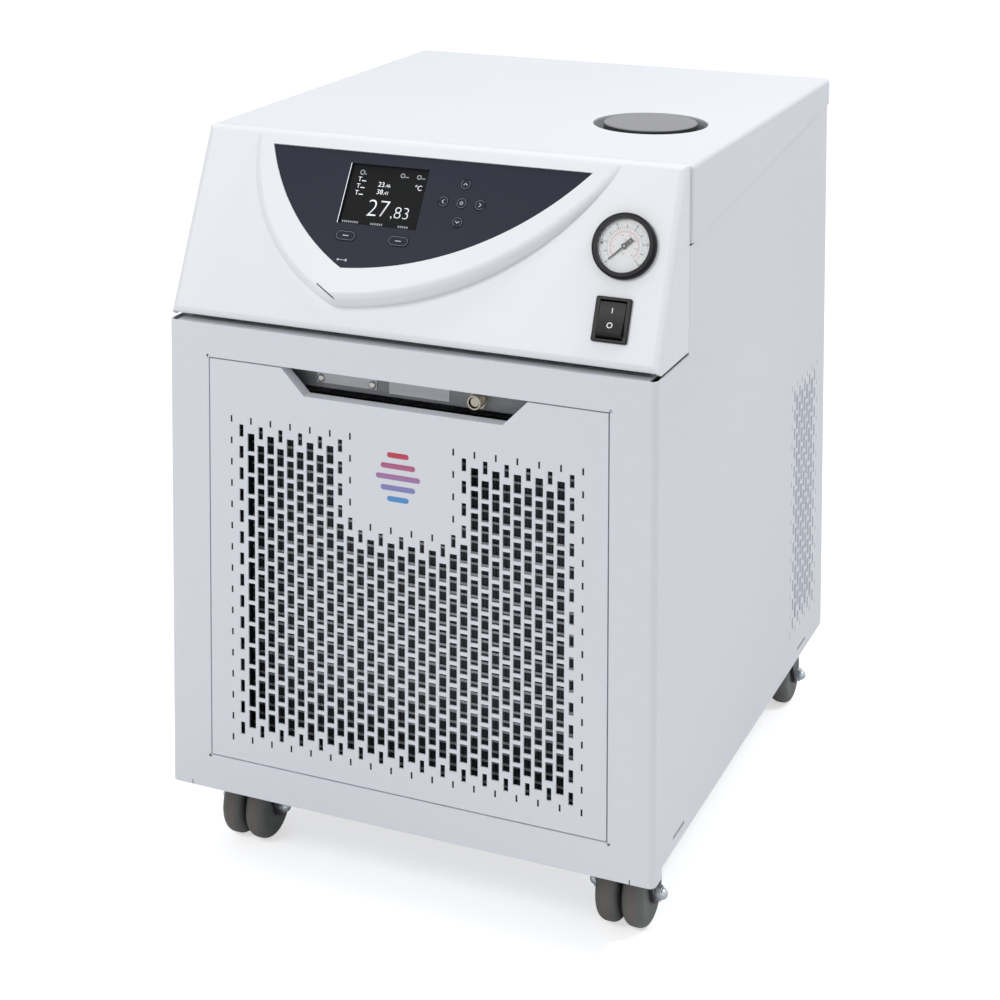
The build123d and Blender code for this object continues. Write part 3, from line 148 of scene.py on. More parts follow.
def open_tree(name, **inputs):
    """A node tree with a mesh, named inputs and a material. Returns it with its inputs."""
    tree = bpy.data.node_groups.new(name, "GeometryNodeTree")
    for word, kind in {"Geometry": "Geometry", **inputs, "Material": "Material"}.items():
        tree.interface.new_socket(word, in_out="INPUT", socket_type="NodeSocket" + kind)
    tree.interface.new_socket("Geometry", in_out="OUTPUT", socket_type="NodeSocketGeometry")
    return tree, add_node(tree, "NodeGroupInput").outputs


def close_tree(tree, copies, material, smooth=False):
    """Makes the copies real, gives them their material and ends the tree."""
    real = add_node(tree, "GeometryNodeRealizeInstances", {"Geometry": copies.outputs[0]})
    if smooth:
        real = add_node(tree, "GeometryNodeSetShadeSmooth", {
            "Geometry": real.outputs[0], "Shade Smooth": True})
    painted = add_node(tree, "GeometryNodeSetMaterial", {
        "Geometry": real.outputs[0], "Material": material})
    add_node(tree, "NodeGroupOutput", {"Geometry": painted.outputs[0]})
    return tree


def block_tree():
    """A node tree that puts a block of given size and turn at each point of a mesh."""
    tree, given = open_tree("blocks_on_points", Size="Vector", Turn="Vector")
    block = add_node(tree, "GeometryNodeMeshCube", {"Size": given["Size"]})
    turn = add_node(tree, "FunctionNodeEulerToRotation", {"Euler": given["Turn"]})
    copies = add_node(tree, "GeometryNodeInstanceOnPoints", {
        "Points": given["Geometry"], "Instance": block.outputs["Mesh"],
        "Rotation": turn.outputs["Rotation"]})
    return close_tree(tree, copies, given["Material"])


def placed(name, data):
    """A new object at the origin of the scene."""
    thing = bpy.data.objects.new(name, data)
    bpy.context.scene.collection.objects.link(thing)
    return thing


def worked_out(thing):
    """The plain mesh of an object with its modifiers, or of a text."""
    return bpy.data.meshes.new_from_object(thing.evaluated_get(bpy.context.evaluated_depsgraph_get()))


def grow(name, mesh, tree, values, body):
    """Runs a node tree on a mesh, keeps the result as a plain mesh, and lets it ride on a body."""
    piece = placed(name, mesh)
    modifier = piece.modifiers.new("grow", "NODES")
    modifier.node_group = tree
    for socket in tree.interface.items_tree:
        if socket.in_out == "INPUT" and socket.name in values:
            modifier[socket.identifier] = values[socket.name]
    grown = worked_out(piece)
    piece.modifiers.clear()
    piece.data = grown
    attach(piece, body)
    return piece


def points_mesh(name, places):
    """A mesh of loose points."""
    mesh = bpy.data.meshes.new(name)
    mesh.from_pydata([tuple(place) for place in places], [], [])
    return mesh


def border_places(columns, rows, level_wanted, window=(0, 0)):
    """Columns and rows of a staggered field that lie at one distance from its border."""
    for column in range(-columns, columns + 1):
        for row in range(rows + 1):
            if (column + columns + row) % 2:
                continue
            level = min(columns - abs(column), row, rows - row)
            if window[0]:
                beside, below = abs(column) - window[0], row - window[1]
                if beside <= 0 and below <= 0:
                    continue
                away = math.hypot(max(beside, 0), max(below, 0))
                level = min(level, round(away + window_corner) - 1)
            if level == level_wanted:
                yield column, row


blocks_on_points = block_tree()
flat_turn = (0.0, 0.0, 0.0)
door_mark_y = front_y + mark_depth / 2 - mark_proud
tiny_places = [
    (column * column_pitch, door_mark_y, door_top_row - row * row_pitch)
    for column, row in border_places(door_columns, door_rows, 0, (window_columns, window_rows))
]
grow("door_tiny_slots", points_mesh("door_tiny_slots", tiny_places), blocks_on_points, {
    "Size": (tiny_slot[0], mark_depth, tiny_slot[1]), "Turn": flat_turn,
    "Material": painted_hole_shade}, "grille_door")
slot_shade, tree, shader = finish("slot_shade", (0.40, 0.42, 0.47), 0.6)
grained(tree, shader, *mark_grain)
for side, word in ((-1, "left"), (1, "right")):
    for level, size, kind in ((0, tiny_slot, "tiny"), (1, narrow_slot, "narrow")):
        places = [
            (side * (side_x - mark_depth / 2 + mark_proud),
             front_y + vent_middle + column * column_pitch, vent_top_row - row * row_pitch)
            for column, row in border_places(vent_columns, vent_rows, level)
        ]
        name = f"vent_{kind}_slots_{word}"
        grow(name, points_mesh(name, places), blocks_on_points, {
            "Size": (mark_depth, size[0], size[1]), "Turn": flat_turn,
            "Material": slot_shade}, "cabinet")

# Side vent mats: a thin pale dust mat is clipped to the inside of each side behind the slots. It
# is what shows light through them.
mat_gap = 0.0006
mat_thickness = 0.0008
mat_half_width = 0.050
mat_overlap = 0.008
sheet_thickness = 0.0015
mat_pale, tree, shader = finish("mat_pale", (0.74, 0.76, 0.80), 0.8)
grained(tree, shader, 1500.0, 0.0003)
mat_middle_z = vent_top_row - vent_rows * row_pitch / 2
for side, word in ((-1, "left"), (1, "right")):
    mat_x = side * (side_x - sheet_thickness - mat_gap - mat_thickness / 2)
    grow(f"vent_mat_{word}", points_mesh(f"vent_mat_{word}", [
        (mat_x, front_y + vent_middle, mat_middle_z)
    ]), blocks_on_points, {
        "Size": (mat_thickness, 2 * mat_half_width, vent_rows * row_pitch + 2 * mat_overlap),
        "Turn": flat_turn, "Material": mat_pale}, "cabinet")

# Bend reliefs: short cuts in the bottom hem near both front corners, where the sheet is folded
# back. They are drawn as two thin ticks painted near black, the painted shade in the cuts.
hem_tick_x = 0.204
hem_tick = (0.0007, mark_depth, 0.0042)
tick_z = casing_low.z + hem_tick[2] / 2
grow("hem_ticks", points_mesh("hem_ticks", [
    (side * hem_tick_x, door_mark_y, tick_z) for side in (-1, 1)
]), blocks_on_points, {"Size": hem_tick, "Turn": flat_turn, "Material": painted_hole_shade},
     "cabinet")

# Door motif: a small printed sign of heat and cold, red at the top and blue at the bottom, in the
# clear field above the slots. It is a plain stack of rounded bars, screen printed on the coat.
motif_centre = (-0.003, 0.380)
motif_bar_height = 0.0046
motif_bar_pitch = 0.0094
motif_half_widths = (0.010, 0.016, 0.0205, 0.016, 0.010)
motif_height = 0.045
bar_end_share = 0.98
corner_steps = 6
motif_top_colour = (0.62, 0.035, 0.045)
motif_middle_colour = (0.42, 0.20, 0.42)
motif_bottom_colour = (0.03, 0.33, 0.72)
film_thickness = 0.00006


def bar(bm, x, y, width, height, radius=0.0):
    """A flat bar with round corners."""
    steps = corner_steps if radius else 0
    rim = []
    for corner, (sx, sy) in enumerate(((1, 1), (-1, 1), (-1, -1), (1, -1))):
        for step in range(steps + 1):
            turn = math.pi / 2 * (corner + (step / steps if steps else 0.5))
            rim.append(bm.verts.new((
                x + sx * (width / 2 - radius) + radius * math.cos(turn),
                y + sy * (height / 2 - radius) + radius * math.sin(turn), 0.0)))
    bm.faces.new(rim)


def film(name, bm, plane, material, body, thickness=film_thickness):
    """Print on a plane: flat shapes with the thickness of the ink, as one closed mesh."""
    mesh = bpy.data.meshes.new(name)
    bm.to_mesh(mesh)
    bm.free()
    piece = placed(name, mesh)
    ink = piece.modifiers.new("ink", "SOLIDIFY")
    ink.thickness = thickness
    ink.offset = 1.0
    solid = worked_out(piece)
    piece.modifiers.clear()
    piece.data = solid
    solid.transform(plane)
    solid.materials.append(material)
    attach(piece, body)
    return piece


def plane_at(origin, right, normal):
    """The matrix that lays a flat drawing on a plane."""
    up = normal.cross(right)
    return Matrix.Translation(origin) @ Matrix((right, up, normal)).transposed().to_4x4()


motif_ink, tree, shader = finish("motif_ink", motif_middle_colour, 0.35)
height = add_node(tree, "ShaderNodeSeparateXYZ", {"Vector": own_place(tree)}).outputs["Z"]
share = add_node(tree, "ShaderNodeMapRange", {
    "Value": height, "From Min": motif_centre[1] - motif_height / 2,
    "From Max": motif_centre[1] + motif_height / 2}).outputs["Result"]
ramp = add_node(tree, "ShaderNodeValToRGB", {"Fac": share})
ramp.color_ramp.elements[0].color = (*motif_bottom_colour, 1.0)
ramp.color_ramp.elements[1].color = (*motif_top_colour, 1.0)
ramp.color_ramp.elements.new(0.5).color = (*motif_middle_colour, 1.0)
tree.links.new(ramp.outputs["Color"], shader.inputs["Base Color"])
motif = bmesh.new()
for index, half_width in enumerate(motif_half_widths):
    level = motif_centre[1] + (len(motif_half_widths) // 2 - index) * motif_bar_pitch
    bar(motif, motif_centre[0], level, 2 * half_width, motif_bar_height,
        motif_bar_height / 2 * bar_end_share)
right_x = Vector((1.0, 0.0, 0.0))
front_normal = Vector((0.0, -1.0, 0.0))
film("door_motif", motif, plane_at(Vector((0, front_y, 0)), right_x, front_normal), motif_ink,
     "grille_door")

# Head and display bezel: injection moulded in a warm, bright white plastic with a very fine
# texture. The bezel is a soft raised shield that is clipped on from inside.
head_white = (0.872, 0.880, 0.900)
moulded_white, tree, shader = finish("moulded_white", head_white, 0.40)
grained(tree, shader, 2600.0, 0.000012)
dress(moulded_white, "head_moulding", "display_bezel")

# Bezel gap: a thin line of painted shade, near black, along the lower left edge of the bezel, where
# the narrow gap of its undercut begins. Its place is found on the moulding along the normal of the
# panel.
joints = {joint["name"]: joint for joint in frame["joints"]}
panel_normal = -Vector(joints["key_enter_press"]["axis"]).normalized()
panel_up = panel_normal.cross(right_x)


def reach(node, direction):
    """Lowest and highest place of a CAD node along a direction."""
    spans = [vertex.co.dot(direction) for vertex in frame["nodes"][node].data.vertices]
    return min(spans), max(spans)


slot_ends = (Vector((-0.079, -0.127)), Vector((-0.061, -0.1375)))
slot_width = 0.0009
slot_steps = 12
slot_proud = 0.00008
probe_height = 0.05
keys_below_edge = 0.043
bezel = frame["nodes"]["display_bezel"]
head_mould = frame["nodes"]["head_moulding"]
over_panel = reach("head_moulding", panel_normal)[1] + probe_height
panel_origin = sum(reach("key_enter", panel_up)) / 2 + keys_below_edge
slit = bmesh.new()
edges_of_slit = []
across_slit = (slot_ends[1] - slot_ends[0]).normalized().orthogonal() * slot_width / 2
for step in range(slot_steps + 1):
    on_line = slot_ends[0].lerp(slot_ends[1], step / slot_steps)
    pair = []
    for side in (1, -1):
        point = on_line + side * across_slit
        above = right_x * point.x + panel_up * (panel_origin + point.y) + panel_normal * over_panel
        hits = [node.ray_cast(above, -panel_normal) for node in (bezel, head_mould)]
        surface = max((hit[1] for hit in hits if hit[0]), key=lambda place: place.dot(panel_normal))
        pair.append(slit.verts.new(surface + panel_normal * slot_proud))
    edges_of_slit.append(pair)
for (a, b), (c, d) in zip(edges_of_slit, edges_of_slit[1:]):
    slit.faces.new((a, b, d, c))
# The gap's shade is painted: a near-black strip laid just above the surface.
film("bezel_slot", slit, Matrix.Identity(4), painted_hole_shade, "cabinet")

# Control fascia: a blue-grey polyester film on a plate, with a satin surface. The keys are
# printed on it and move a little under the finger.
fascia_colour = (0.019, 0.020, 0.036)
key_colour = (0.013, 0.014, 0.026)
film_grain = (3500.0, 0.000006)
fascia_film, tree, shader = finish("fascia_film", fascia_colour, 0.42, gloss=0.15)
grained(tree, shader, *film_grain)
key_film, tree, shader = finish("key_film", key_colour, 0.45, gloss=0.15)
grained(tree, shader, *film_grain)
dress(fascia_film, "control_fascia")
dress(key_film, "key_up", "key_down", "key_left", "key_right", "key_enter", "soft_key_left",
      "soft_key_right")
fascia_face = reach("control_fascia", panel_normal)[1]
key_face = reach("key_enter", panel_normal)[1]


def panel_place(node):
    """Middle of a CAD node on the panel, as right and up coordinates."""
    return sum(reach(node, right_x)) / 2, sum(reach(node, panel_up)) / 2


def panel_matrix(face):
    """The plane of the panel at a height along its normal."""
    return plane_at(panel_normal * face, right_x, panel_normal)


# Key print: pale grey rings, chevrons and dashes show where to press. They are screen printed on
# the film, one small drawing on each key, and sink with it.
print_grain = (3000.0, 0.000004)
print_pale, tree, shader = finish("print_pale", (0.62, 0.63, 0.68), 0.5)
grained(tree, shader, *print_grain)
print_grey, tree, shader = finish("print_grey", (0.20, 0.205, 0.24), 0.5)
grained(tree, shader, *print_grain)
ring_stroke = 0.00035
chevron_reach = 0.0018
chevron_stroke = 0.0006
nav_ring_radius = 0.0041
nav_ring_gap = 70
enter_dot_radius = 0.0012
soft_dash = (0.0056, 0.0007)
sharpest_mitre = 0.35
soft_outline = (0.0174, 0.0074)


def stroke(bm, points, width):
    """A flat line of even width through points, with mitred corners."""
    points = [Vector(point) for point in points]
    pairs = []
    for index, point in enumerate(points):
        before = (point - points[max(index - 1, 0)]).normalized()
        after = (points[min(index + 1, len(points) - 1)] - point).normalized()
        along = (before + after).normalized()
        across = Vector((-along.y, along.x))
        one_side = Vector((-after.y, after.x)) if after.length else Vector((-before.y, before.x))
        mitre = max(across.dot(one_side), sharpest_mitre)
        offset = across * (width / 2 / mitre)
        pairs.append([bm.verts.new((*(point + offset), 0.0)), bm.verts.new((*(point - offset), 0.0))])
    for (a, b), (c, d) in zip(pairs, pairs[1:]):
        bm.faces.new((a, b, d, c))


def ring(bm, x, y, radius, width, start=0.0, sweep=360.0, steps=40):
    """A flat ring or arc."""
    whole = sweep >= 360.0
    rims = []
    for step in range(steps if whole else steps + 1):
        turn = math.radians(start + sweep * step / steps)
        out = Vector((math.cos(turn), math.sin(turn)))
        rims.append([bm.verts.new((x + out.x * r, y + out.y * r, 0.0))
                     for r in (radius - width / 2, radius + width / 2)])
    for (a, b), (c, d) in zip(rims, rims[1:] + (rims[:1] if whole else [])):
        bm.faces.new((a, b, d, c))


def chevron(bm, x, y, turn):
    """An arrow head that points along a turn in degrees."""
    spin = Matrix.Rotation(math.radians(turn), 2)
    tips = [spin @ Vector(p) for p in (
        (-chevron_reach / 2, chevron_reach), (chevron_reach / 2, 0.0),
        (-chevron_reach / 2, -chevron_reach))]
    stroke(bm, [(x + tip.x, y + tip.y) for tip in tips], chevron_stroke)


for node, turn in (("key_up", 90), ("key_down", 270), ("key_left", 180), ("key_right", 0)):
    drawing = bmesh.new()
    x, y = panel_place(node)
    ring(drawing, x, y, nav_ring_radius, ring_stroke, turn + nav_ring_gap / 2, 360 - nav_ring_gap)
    film(node + "_ring", drawing, panel_matrix(key_face), print_grey, node)
    drawing = bmesh.new()
    chevron(drawing, x, y, turn)
    film(node + "_arrow", drawing, panel_matrix(key_face), print_pale, node)
drawing = bmesh.new()
x, y = panel_place("key_enter")
ring(drawing, x, y, nav_ring_radius, ring_stroke)
film("key_enter_ring", drawing, panel_matrix(key_face), print_grey, "key_enter")
drawing = bmesh.new()
ring(drawing, x, y, enter_dot_radius, chevron_stroke)
film("key_enter_dot", drawing, panel_matrix(key_face), print_pale, "key_enter")
for node in ("soft_key_left", "soft_key_right"):
    drawing = bmesh.new()
    x, y = panel_place(node)
    half = soft_outline[0] / 2 - soft_outline[1] / 2
    for side, start in ((1, -90), (-1, 90)):
        ring(drawing, x + side * half, y, soft_outline[1] / 2, ring_stroke, start, 180, 16)
        bar(drawing, x, y + side * soft_outline[1] / 2, 2 * half, ring_stroke)
    film(node + "_outline", drawing, panel_matrix(key_face), print_grey, node)
    drawing = bmesh.new()
    bar(drawing, x, y, *soft_dash)
    film(node + "_dash", drawing, panel_matrix(key_face), print_pale, node)

# Display: a black graphic module behind the window. Its pixels show plain readings in white and
# grey. A thin glowing line down the left side of the window is a painted highlight on its edge.
screen_black, tree, shader = finish("screen_black", (0.013, 0.0135, 0.014), 0.35, gloss=0.05)
grained(tree, shader, 4000.0, 0.000003)
dress(screen_black, "display_module")
white_glow, white_glow_strength = (0.9, 0.93, 1.0), 0.25
grey_glow, grey_glow_strength = (0.6, 0.63, 0.7), 0.10
lit_white, tree, shader = finish("lit_white", (0.9, 0.91, 0.92), 0.4)
shader.inputs["Emission Color"].default_value = (*white_glow, 1.0)
shader.inputs["Emission Strength"].default_value = white_glow_strength
lit_grey, tree, shader = finish("lit_grey", (0.30, 0.31, 0.33), 0.4)
shader.inputs["Emission Color"].default_value = (*grey_glow, 1.0)
shader.inputs["Emission Strength"].default_value = grey_glow_strength
screen_step = 0.001
screen_size = (0.074, 0.055)
font_cap_share = 0.729
reading_caps, tenths_caps = 0.0160, 0.0112
reading_end, tenths_start = (7.4, -9.9), (8.2, -12.3)
reading_thin, tenths_thin = 0.0004, 0.0003
value_caps, value_tenths_caps = 0.0046, 0.0031
value_end_x, value_tenths_x, value_tenths_drop = -2.8, -2.4, 0.7
values_shown = ((11.4, "23", ",46"), (4.6, "38", ",41"))
label_caps, label_x, label_levels = 0.0042, -27.4, (14.6, 8.4, 2.2)
label_dash_place, label_dash = (4.2, -1.6), (0.0040, 0.0008)
unit_caps, unit_place = 0.0048, (29.0, 11.4)
icon_stroke = 0.0009
alarm_place, alarm_radius = (-26.4, 20.6), 0.0019
alarm_foot_place, alarm_foot = (-23.0, 19.2), (0.0012, 0.0010)
state_columns, state_level, state_radius = (12.0, 27.5), 20.9, 0.0017
state_dash_place, state_dash = (4.2, -1.1), (0.0036, 0.0008)
caption_level, caption_pitch, caption_tick = -24.8, 2.0, (0.0012, 0.0018)
caption_spans = ((-26.0, 16.0), (-1.0, 12.0), (24.5, 11.0))
edge_width = 0.0006
port_offset = (-0.024, -0.0600)
port_line, port_stroke = (-0.0035, 0.0030), 0.0005
port_ring_x, port_ring_radius, port_ring_stroke = -0.0040, 0.0006, 0.0008
port_plug_x, port_plug = 0.0036, (0.0016, 0.0022)
screen_face = reach("display_module", panel_normal)[1] - screen_step
screen_x, screen_y = panel_place("display_module")


def words(bm, text, cap_height, x, y, align="CENTER", thin=0.0):
    """Plain characters as flat faces, with their capitals' height given."""
    curve = bpy.data.curves.new("characters", "FONT")
    curve.body = text
    curve.size = cap_height / font_cap_share
    curve.align_x = align
    curve.offset = -thin
    carrier = placed("characters", curve)
    mesh = worked_out(carrier)
    mesh.transform(Matrix.Translation((x, y - cap_height / 2, 0.0)))
    bm.from_mesh(mesh)
    bpy.data.objects.remove(carrier)


def screen(x, y):
    """A place on the screen, given in millimetres from its middle."""
    return screen_x + x / 1000, screen_y + y / 1000


digits = bmesh.new()
words(digits, "27", reading_caps, *screen(*reading_end), align="RIGHT", thin=reading_thin)
words(digits, ",83", tenths_caps, *screen(*tenths_start), align="LEFT", thin=tenths_thin)
film("screen_reading", digits, panel_matrix(screen_face), lit_white, "cabinet")
small = bmesh.new()
for level, whole, rest in values_shown:
    words(small, whole, value_caps, *screen(value_end_x, level), align="RIGHT")
    words(small, rest, value_tenths_caps, *screen(value_tenths_x, level - value_tenths_drop),
          align="LEFT")
for level in label_levels:
    words(small, "T", label_caps, *screen(label_x, level))
    bar(small, *screen(label_x + label_dash_place[0], level + label_dash_place[1]), *label_dash)
words(small, "°C", unit_caps, *screen(*unit_place))
film("screen_values", small, panel_matrix(screen_face), lit_white, "cabinet")
marks = bmesh.new()
ring(marks, *screen(*alarm_place), alarm_radius, icon_stroke)
bar(marks, *screen(*alarm_foot_place), *alarm_foot)
for x in state_columns:
    ring(marks, *screen(x, state_level), state_radius, icon_stroke)
    bar(marks, *screen(x + state_dash_place[0], state_level + state_dash_place[1]), *state_dash)
for x, width in caption_spans:
    for step in range(int(width / caption_pitch)):
        bar(marks, *screen(x + caption_pitch * step - width / 2, caption_level), *caption_tick)
film("screen_captions", marks, panel_matrix(screen_face), lit_grey, "cabinet")
# Painted highlight: a thin glowing line on the fascia along the window's left edge.
edge = bmesh.new()
bar(edge, screen_x - screen_size[0] / 2 - edge_width / 2, screen_y, edge_width, screen_size[1])
film("window_edge", edge, panel_matrix(fascia_face), lit_white, "cabinet")
port_mark = bmesh.new()
port_x, port_y = screen_x + port_offset[0], screen_y + port_offset[1]
stroke(port_mark, [(port_x + end, port_y) for end in port_line], port_stroke)
ring(port_mark, port_x + port_ring_x, port_y, port_ring_radius, port_ring_stroke)
bar(port_mark, port_x + port_plug_x, port_y, *port_plug)
film("service_port_mark", port_mark, panel_matrix(fascia_face), print_pale, "cabinet")

# Pressure gauge: a black pressed case with a snap-on ring, an enamelled white dial with a black
# outer and a red inner scale, a black pointer and a clear window.
case_black, tree, shader = finish("case_black", (0.010, 0.010, 0.012), 0.38, gloss=0.15)
grained(tree, shader, 500.0, 0.00001)
dial_white, tree, shader = finish("dial_white", (0.86, 0.865, 0.86), 0.5)
grained(tree, shader, 1500.0, 0.000004)
pointer_black, tree, shader = finish("pointer_black", (0.012, 0.012, 0.013), 0.45)
grained(tree, shader, 1500.0, 0.000004)
scale_red, tree, shader = finish("scale_red", (0.62, 0.05, 0.045), 0.5)
grained(tree, shader, 1500.0, 0.000002)
scale_black, tree, shader = finish("scale_black", (0.02, 0.02, 0.022), 0.5)
grained(tree, shader, 1500.0, 0.000002)
clear_window, tree, shader = finish("clear_window", (1.0, 1.0, 1.0), 0.05, gloss=0.3)
shader.inputs["Alpha"].default_value = 0.05
shader.inputs["IOR"].default_value = 1.49
dress(case_black, "gauge_case")
dress(dial_white, "gauge_dial")
dress(pointer_black, "gauge_needle")
dress(clear_window, "gauge_window")
dial_thickness = 0.001
scale_start = 225.0
scale_sweep = 270.0
major_ticks, major_radius, major_tick = 11, 0.0163, (0.0030, 0.0005)
minor_ticks, minor_radius, minor_tick = 51, 0.0154, (0.0012, 0.00026)
red_ticks, red_radius, red_tick = 29, 0.0118, (0.0012, 0.00028)
numbers_radius, numbers_caps, numbers_step, numbers_steps = 0.0196, 0.0024, 2, 5
unit_word_caps, unit_word_y = 0.0013, -0.0062
red_arc_radius, red_arc_stroke = 0.0126, 0.00022
red_numbers_radius, red_numbers_caps, red_step, red_steps = 0.0096, 0.0013, 20, 7
red_unit_caps, red_unit_y = 0.0011, 0.0056
pin_place, pin_radius, pin_height, pin_sides = (-0.0196, 0.0010), 0.0010, 0.0006, 16
gauge_normal = -Vector(joints["needle_turn"]["axis"]).normalized()
gauge_centre = Vector(joints["needle_turn"]["pos_m"])
dial_face = reach("gauge_dial", gauge_normal)[0] + dial_thickness - gauge_centre.dot(gauge_normal)
dial_plane = plane_at(gauge_centre + gauge_normal * dial_face, right_x, gauge_normal)


def tick_tree():
    """A node tree for ticks on an arc: count, radius, length, width, start and sweep."""
    tree, given = open_tree("ticks_on_arc", Count="Int", Radius="Float", Length="Float",
                            Width="Float", Height="Float", Start="Float", Sweep="Float")
    index = add_node(tree, "GeometryNodeInputIndex").outputs[0]
    steps = add_node(tree, "ShaderNodeMath", {0: given["Count"], 1: 1.0}, operation="SUBTRACT")
    share = add_node(tree, "ShaderNodeMath", {0: index, 1: steps.outputs[0]}, operation="DIVIDE")
    turn = add_node(tree, "ShaderNodeMath", {
        0: share.outputs[0], 1: given["Sweep"], 2: given["Start"]}, operation="MULTIPLY_ADD")
    across = add_node(tree, "ShaderNodeMath", {0: turn.outputs[0]}, operation="COSINE")
    upward = add_node(tree, "ShaderNodeMath", {0: turn.outputs[0]}, operation="SINE")
    way = add_node(tree, "ShaderNodeCombineXYZ", {"X": across.outputs[0], "Y": upward.outputs[0]})
    place = add_node(tree, "ShaderNodeVectorMath", {
        0: way.outputs[0], "Scale": given["Radius"]}, operation="SCALE")
    points = add_node(tree, "GeometryNodePoints", {
        "Count": given["Count"], "Position": place.outputs["Vector"]})
    size = add_node(tree, "ShaderNodeCombineXYZ", {
        "X": given["Length"], "Y": given["Width"], "Z": given["Height"]})
    block = add_node(tree, "GeometryNodeMeshCube", {"Size": size.outputs[0]})
    spin = add_node(tree, "ShaderNodeCombineXYZ", {"Z": turn.outputs[0]})
    spin = add_node(tree, "FunctionNodeEulerToRotation", {"Euler": spin.outputs[0]})
    copies = add_node(tree, "GeometryNodeInstanceOnPoints", {
        "Points": points.outputs[0], "Instance": block.outputs["Mesh"],
        "Rotation": spin.outputs["Rotation"]})
    return close_tree(tree, copies, given["Material"])


ticks_on_arc = tick_tree()


def scale_ticks(name, count, radius, length, width, material):
    """One ring of ticks on the dial, over the whole scale."""
    ticks = grow(name, bpy.data.meshes.new(name), ticks_on_arc, {
        "Count": count, "Radius": radius, "Length": length, "Width": width,
        "Height": 2 * film_thickness, "Start": math.radians(scale_start - scale_sweep),
        "Sweep": math.radians(scale_sweep), "Material": material}, "cabinet")
    ticks.data.transform(dial_plane)


scale_ticks("gauge_major_ticks", major_ticks, major_radius, *major_tick, scale_black)
scale_ticks("gauge_minor_ticks", minor_ticks, minor_radius, *minor_tick, scale_black)
scale_ticks("gauge_red_ticks", red_ticks, red_radius, *red_tick, scale_red)


def scale_numbers(bm, steps, step_value, radius, cap_height):
    """Plain numbers round the dial, at even steps of the scale."""
    for step in range(steps + 1):
        turn = math.radians(scale_start - scale_sweep * step / steps)
        words(bm, str(step_value * step), cap_height, radius * math.cos(turn), radius * math.sin(turn))


numbers = bmesh.new()
scale_numbers(numbers, numbers_steps, numbers_step, numbers_radius, numbers_caps)
words(numbers, "bar", unit_word_caps, 0.0, unit_word_y)
film("gauge_numbers", numbers, dial_plane, scale_black, "cabinet")
inner = bmesh.new()
ring(inner, 0.0, 0.0, red_arc_radius, red_arc_stroke, scale_start - scale_sweep, scale_sweep, 60)
scale_numbers(inner, red_steps, red_step, red_numbers_radius, red_numbers_caps)
words(inner, "psi", red_unit_caps, 0.0, red_unit_y)
film("gauge_red_scale", inner, dial_plane, scale_red, "cabinet")


def disc(bm, x, y, radius, sides):
    """A flat round plate."""
    turns = [2 * math.pi * side / sides for side in range(sides)]
    bm.faces.new([bm.verts.new((x + radius * math.cos(turn), y + radius * math.sin(turn), 0.0))
                  for turn in turns])


stop_pin = bmesh.new()
disc(stop_pin, *pin_place, pin_radius, pin_sides)
film("gauge_stop_pin", stop_pin, dial_plane, scale_black, "cabinet", pin_height)

# Mains switch: a black rocker in a snap-in frame, moulded in a textured flame-retardant plastic.
# The marks for on and off are white and filled into the rocker.
switch_black, tree, shader = finish("switch_black", (0.010, 0.010, 0.011), 0.45, gloss=0.3)
grained(tree, shader, 1400.0, 0.00002)
mark_white, tree, shader = finish("mark_white", (0.82, 0.82, 0.82), 0.5)
grained(tree, shader, 1400.0, 0.000004)
dress(switch_black, "switch_frame", "switch_rocker")
rocker_turn = math.radians(-9.0)
rocker_top = 0.009
hollow_depth = 0.0015
hollow_radius = 0.060
mark_reach = 0.0062
mark_stroke = 0.0009
on_mark_length = 0.0044
off_mark_radius = 0.0021
rocker_axis = Vector(joints["rocker_tilt"]["pos_m"])
switch_up = gauge_normal.cross(right_x)
rocker_up = switch_up * math.cos(rocker_turn) + gauge_normal * math.sin(rocker_turn)
rocker_out = right_x.cross(rocker_up)
switch_marks = bmesh.new()
bar(switch_marks, 0.0, mark_reach, mark_stroke, on_mark_length)
ring(switch_marks, 0.0, -mark_reach, off_mark_radius, mark_stroke)
rocker_plane = plane_at(rocker_axis, right_x, rocker_out)
marks_piece = film("switch_marks", switch_marks, rocker_plane, mark_white, "switch_rocker")
for vertex in marks_piece.data.vertices:
    along = (vertex.co - rocker_axis).dot(rocker_up)
    hollow = rocker_top - hollow_depth + hollow_radius - math.sqrt(hollow_radius ** 2 - along ** 2)
    vertex.co += rocker_out * hollow

# Interface plate: brushed, anodised aluminium in the hand notch, with a screwed module cover, a
# bare pale cover and a round threaded socket with a bright rim.
brush_grain = (60.0, 0.00001, (1.0, 30.0, 30.0))
plate_grey, tree, shader = finish("plate_grey", (0.235, 0.24, 0.25), 0.42, 0.6)
brush = grained(tree, shader, *brush_grain)
varied(tree, shader, brush, (0.215, 0.22, 0.23), (0.26, 0.265, 0.275))
cover_grey, tree, shader = finish("cover_grey", (0.56, 0.565, 0.575), 0.38, 0.4)
grained(tree, shader, *brush_grain)
cover_pale, tree, shader = finish("cover_pale", (0.66, 0.665, 0.68), 0.5)
grained(tree, shader, 900.0, 0.000006)
bright_steel, tree, shader = finish("bright_steel", (0.62, 0.61, 0.58), 0.20, 1.0)
grained(tree, shader, 300.0, 0.000004)
dress(plate_grey, "interface_plate")
dress(cover_grey, "module_cover")
dress(cover_pale, "blank_cover")
nickel_brass, tree, shader = finish("nickel_brass", (0.52, 0.47, 0.38), 0.25, 1.0)
grained(tree, shader, 300.0, 0.000004)
dress(bright_steel, "cover_screws")
dress(nickel_brass, "signal_connector")
socket_axis_z = 0.450
shade_disc_radius, shade_disc_depth, shade_disc_sides = 0.0045, 0.0078, 24
thread_depth = 0.0090
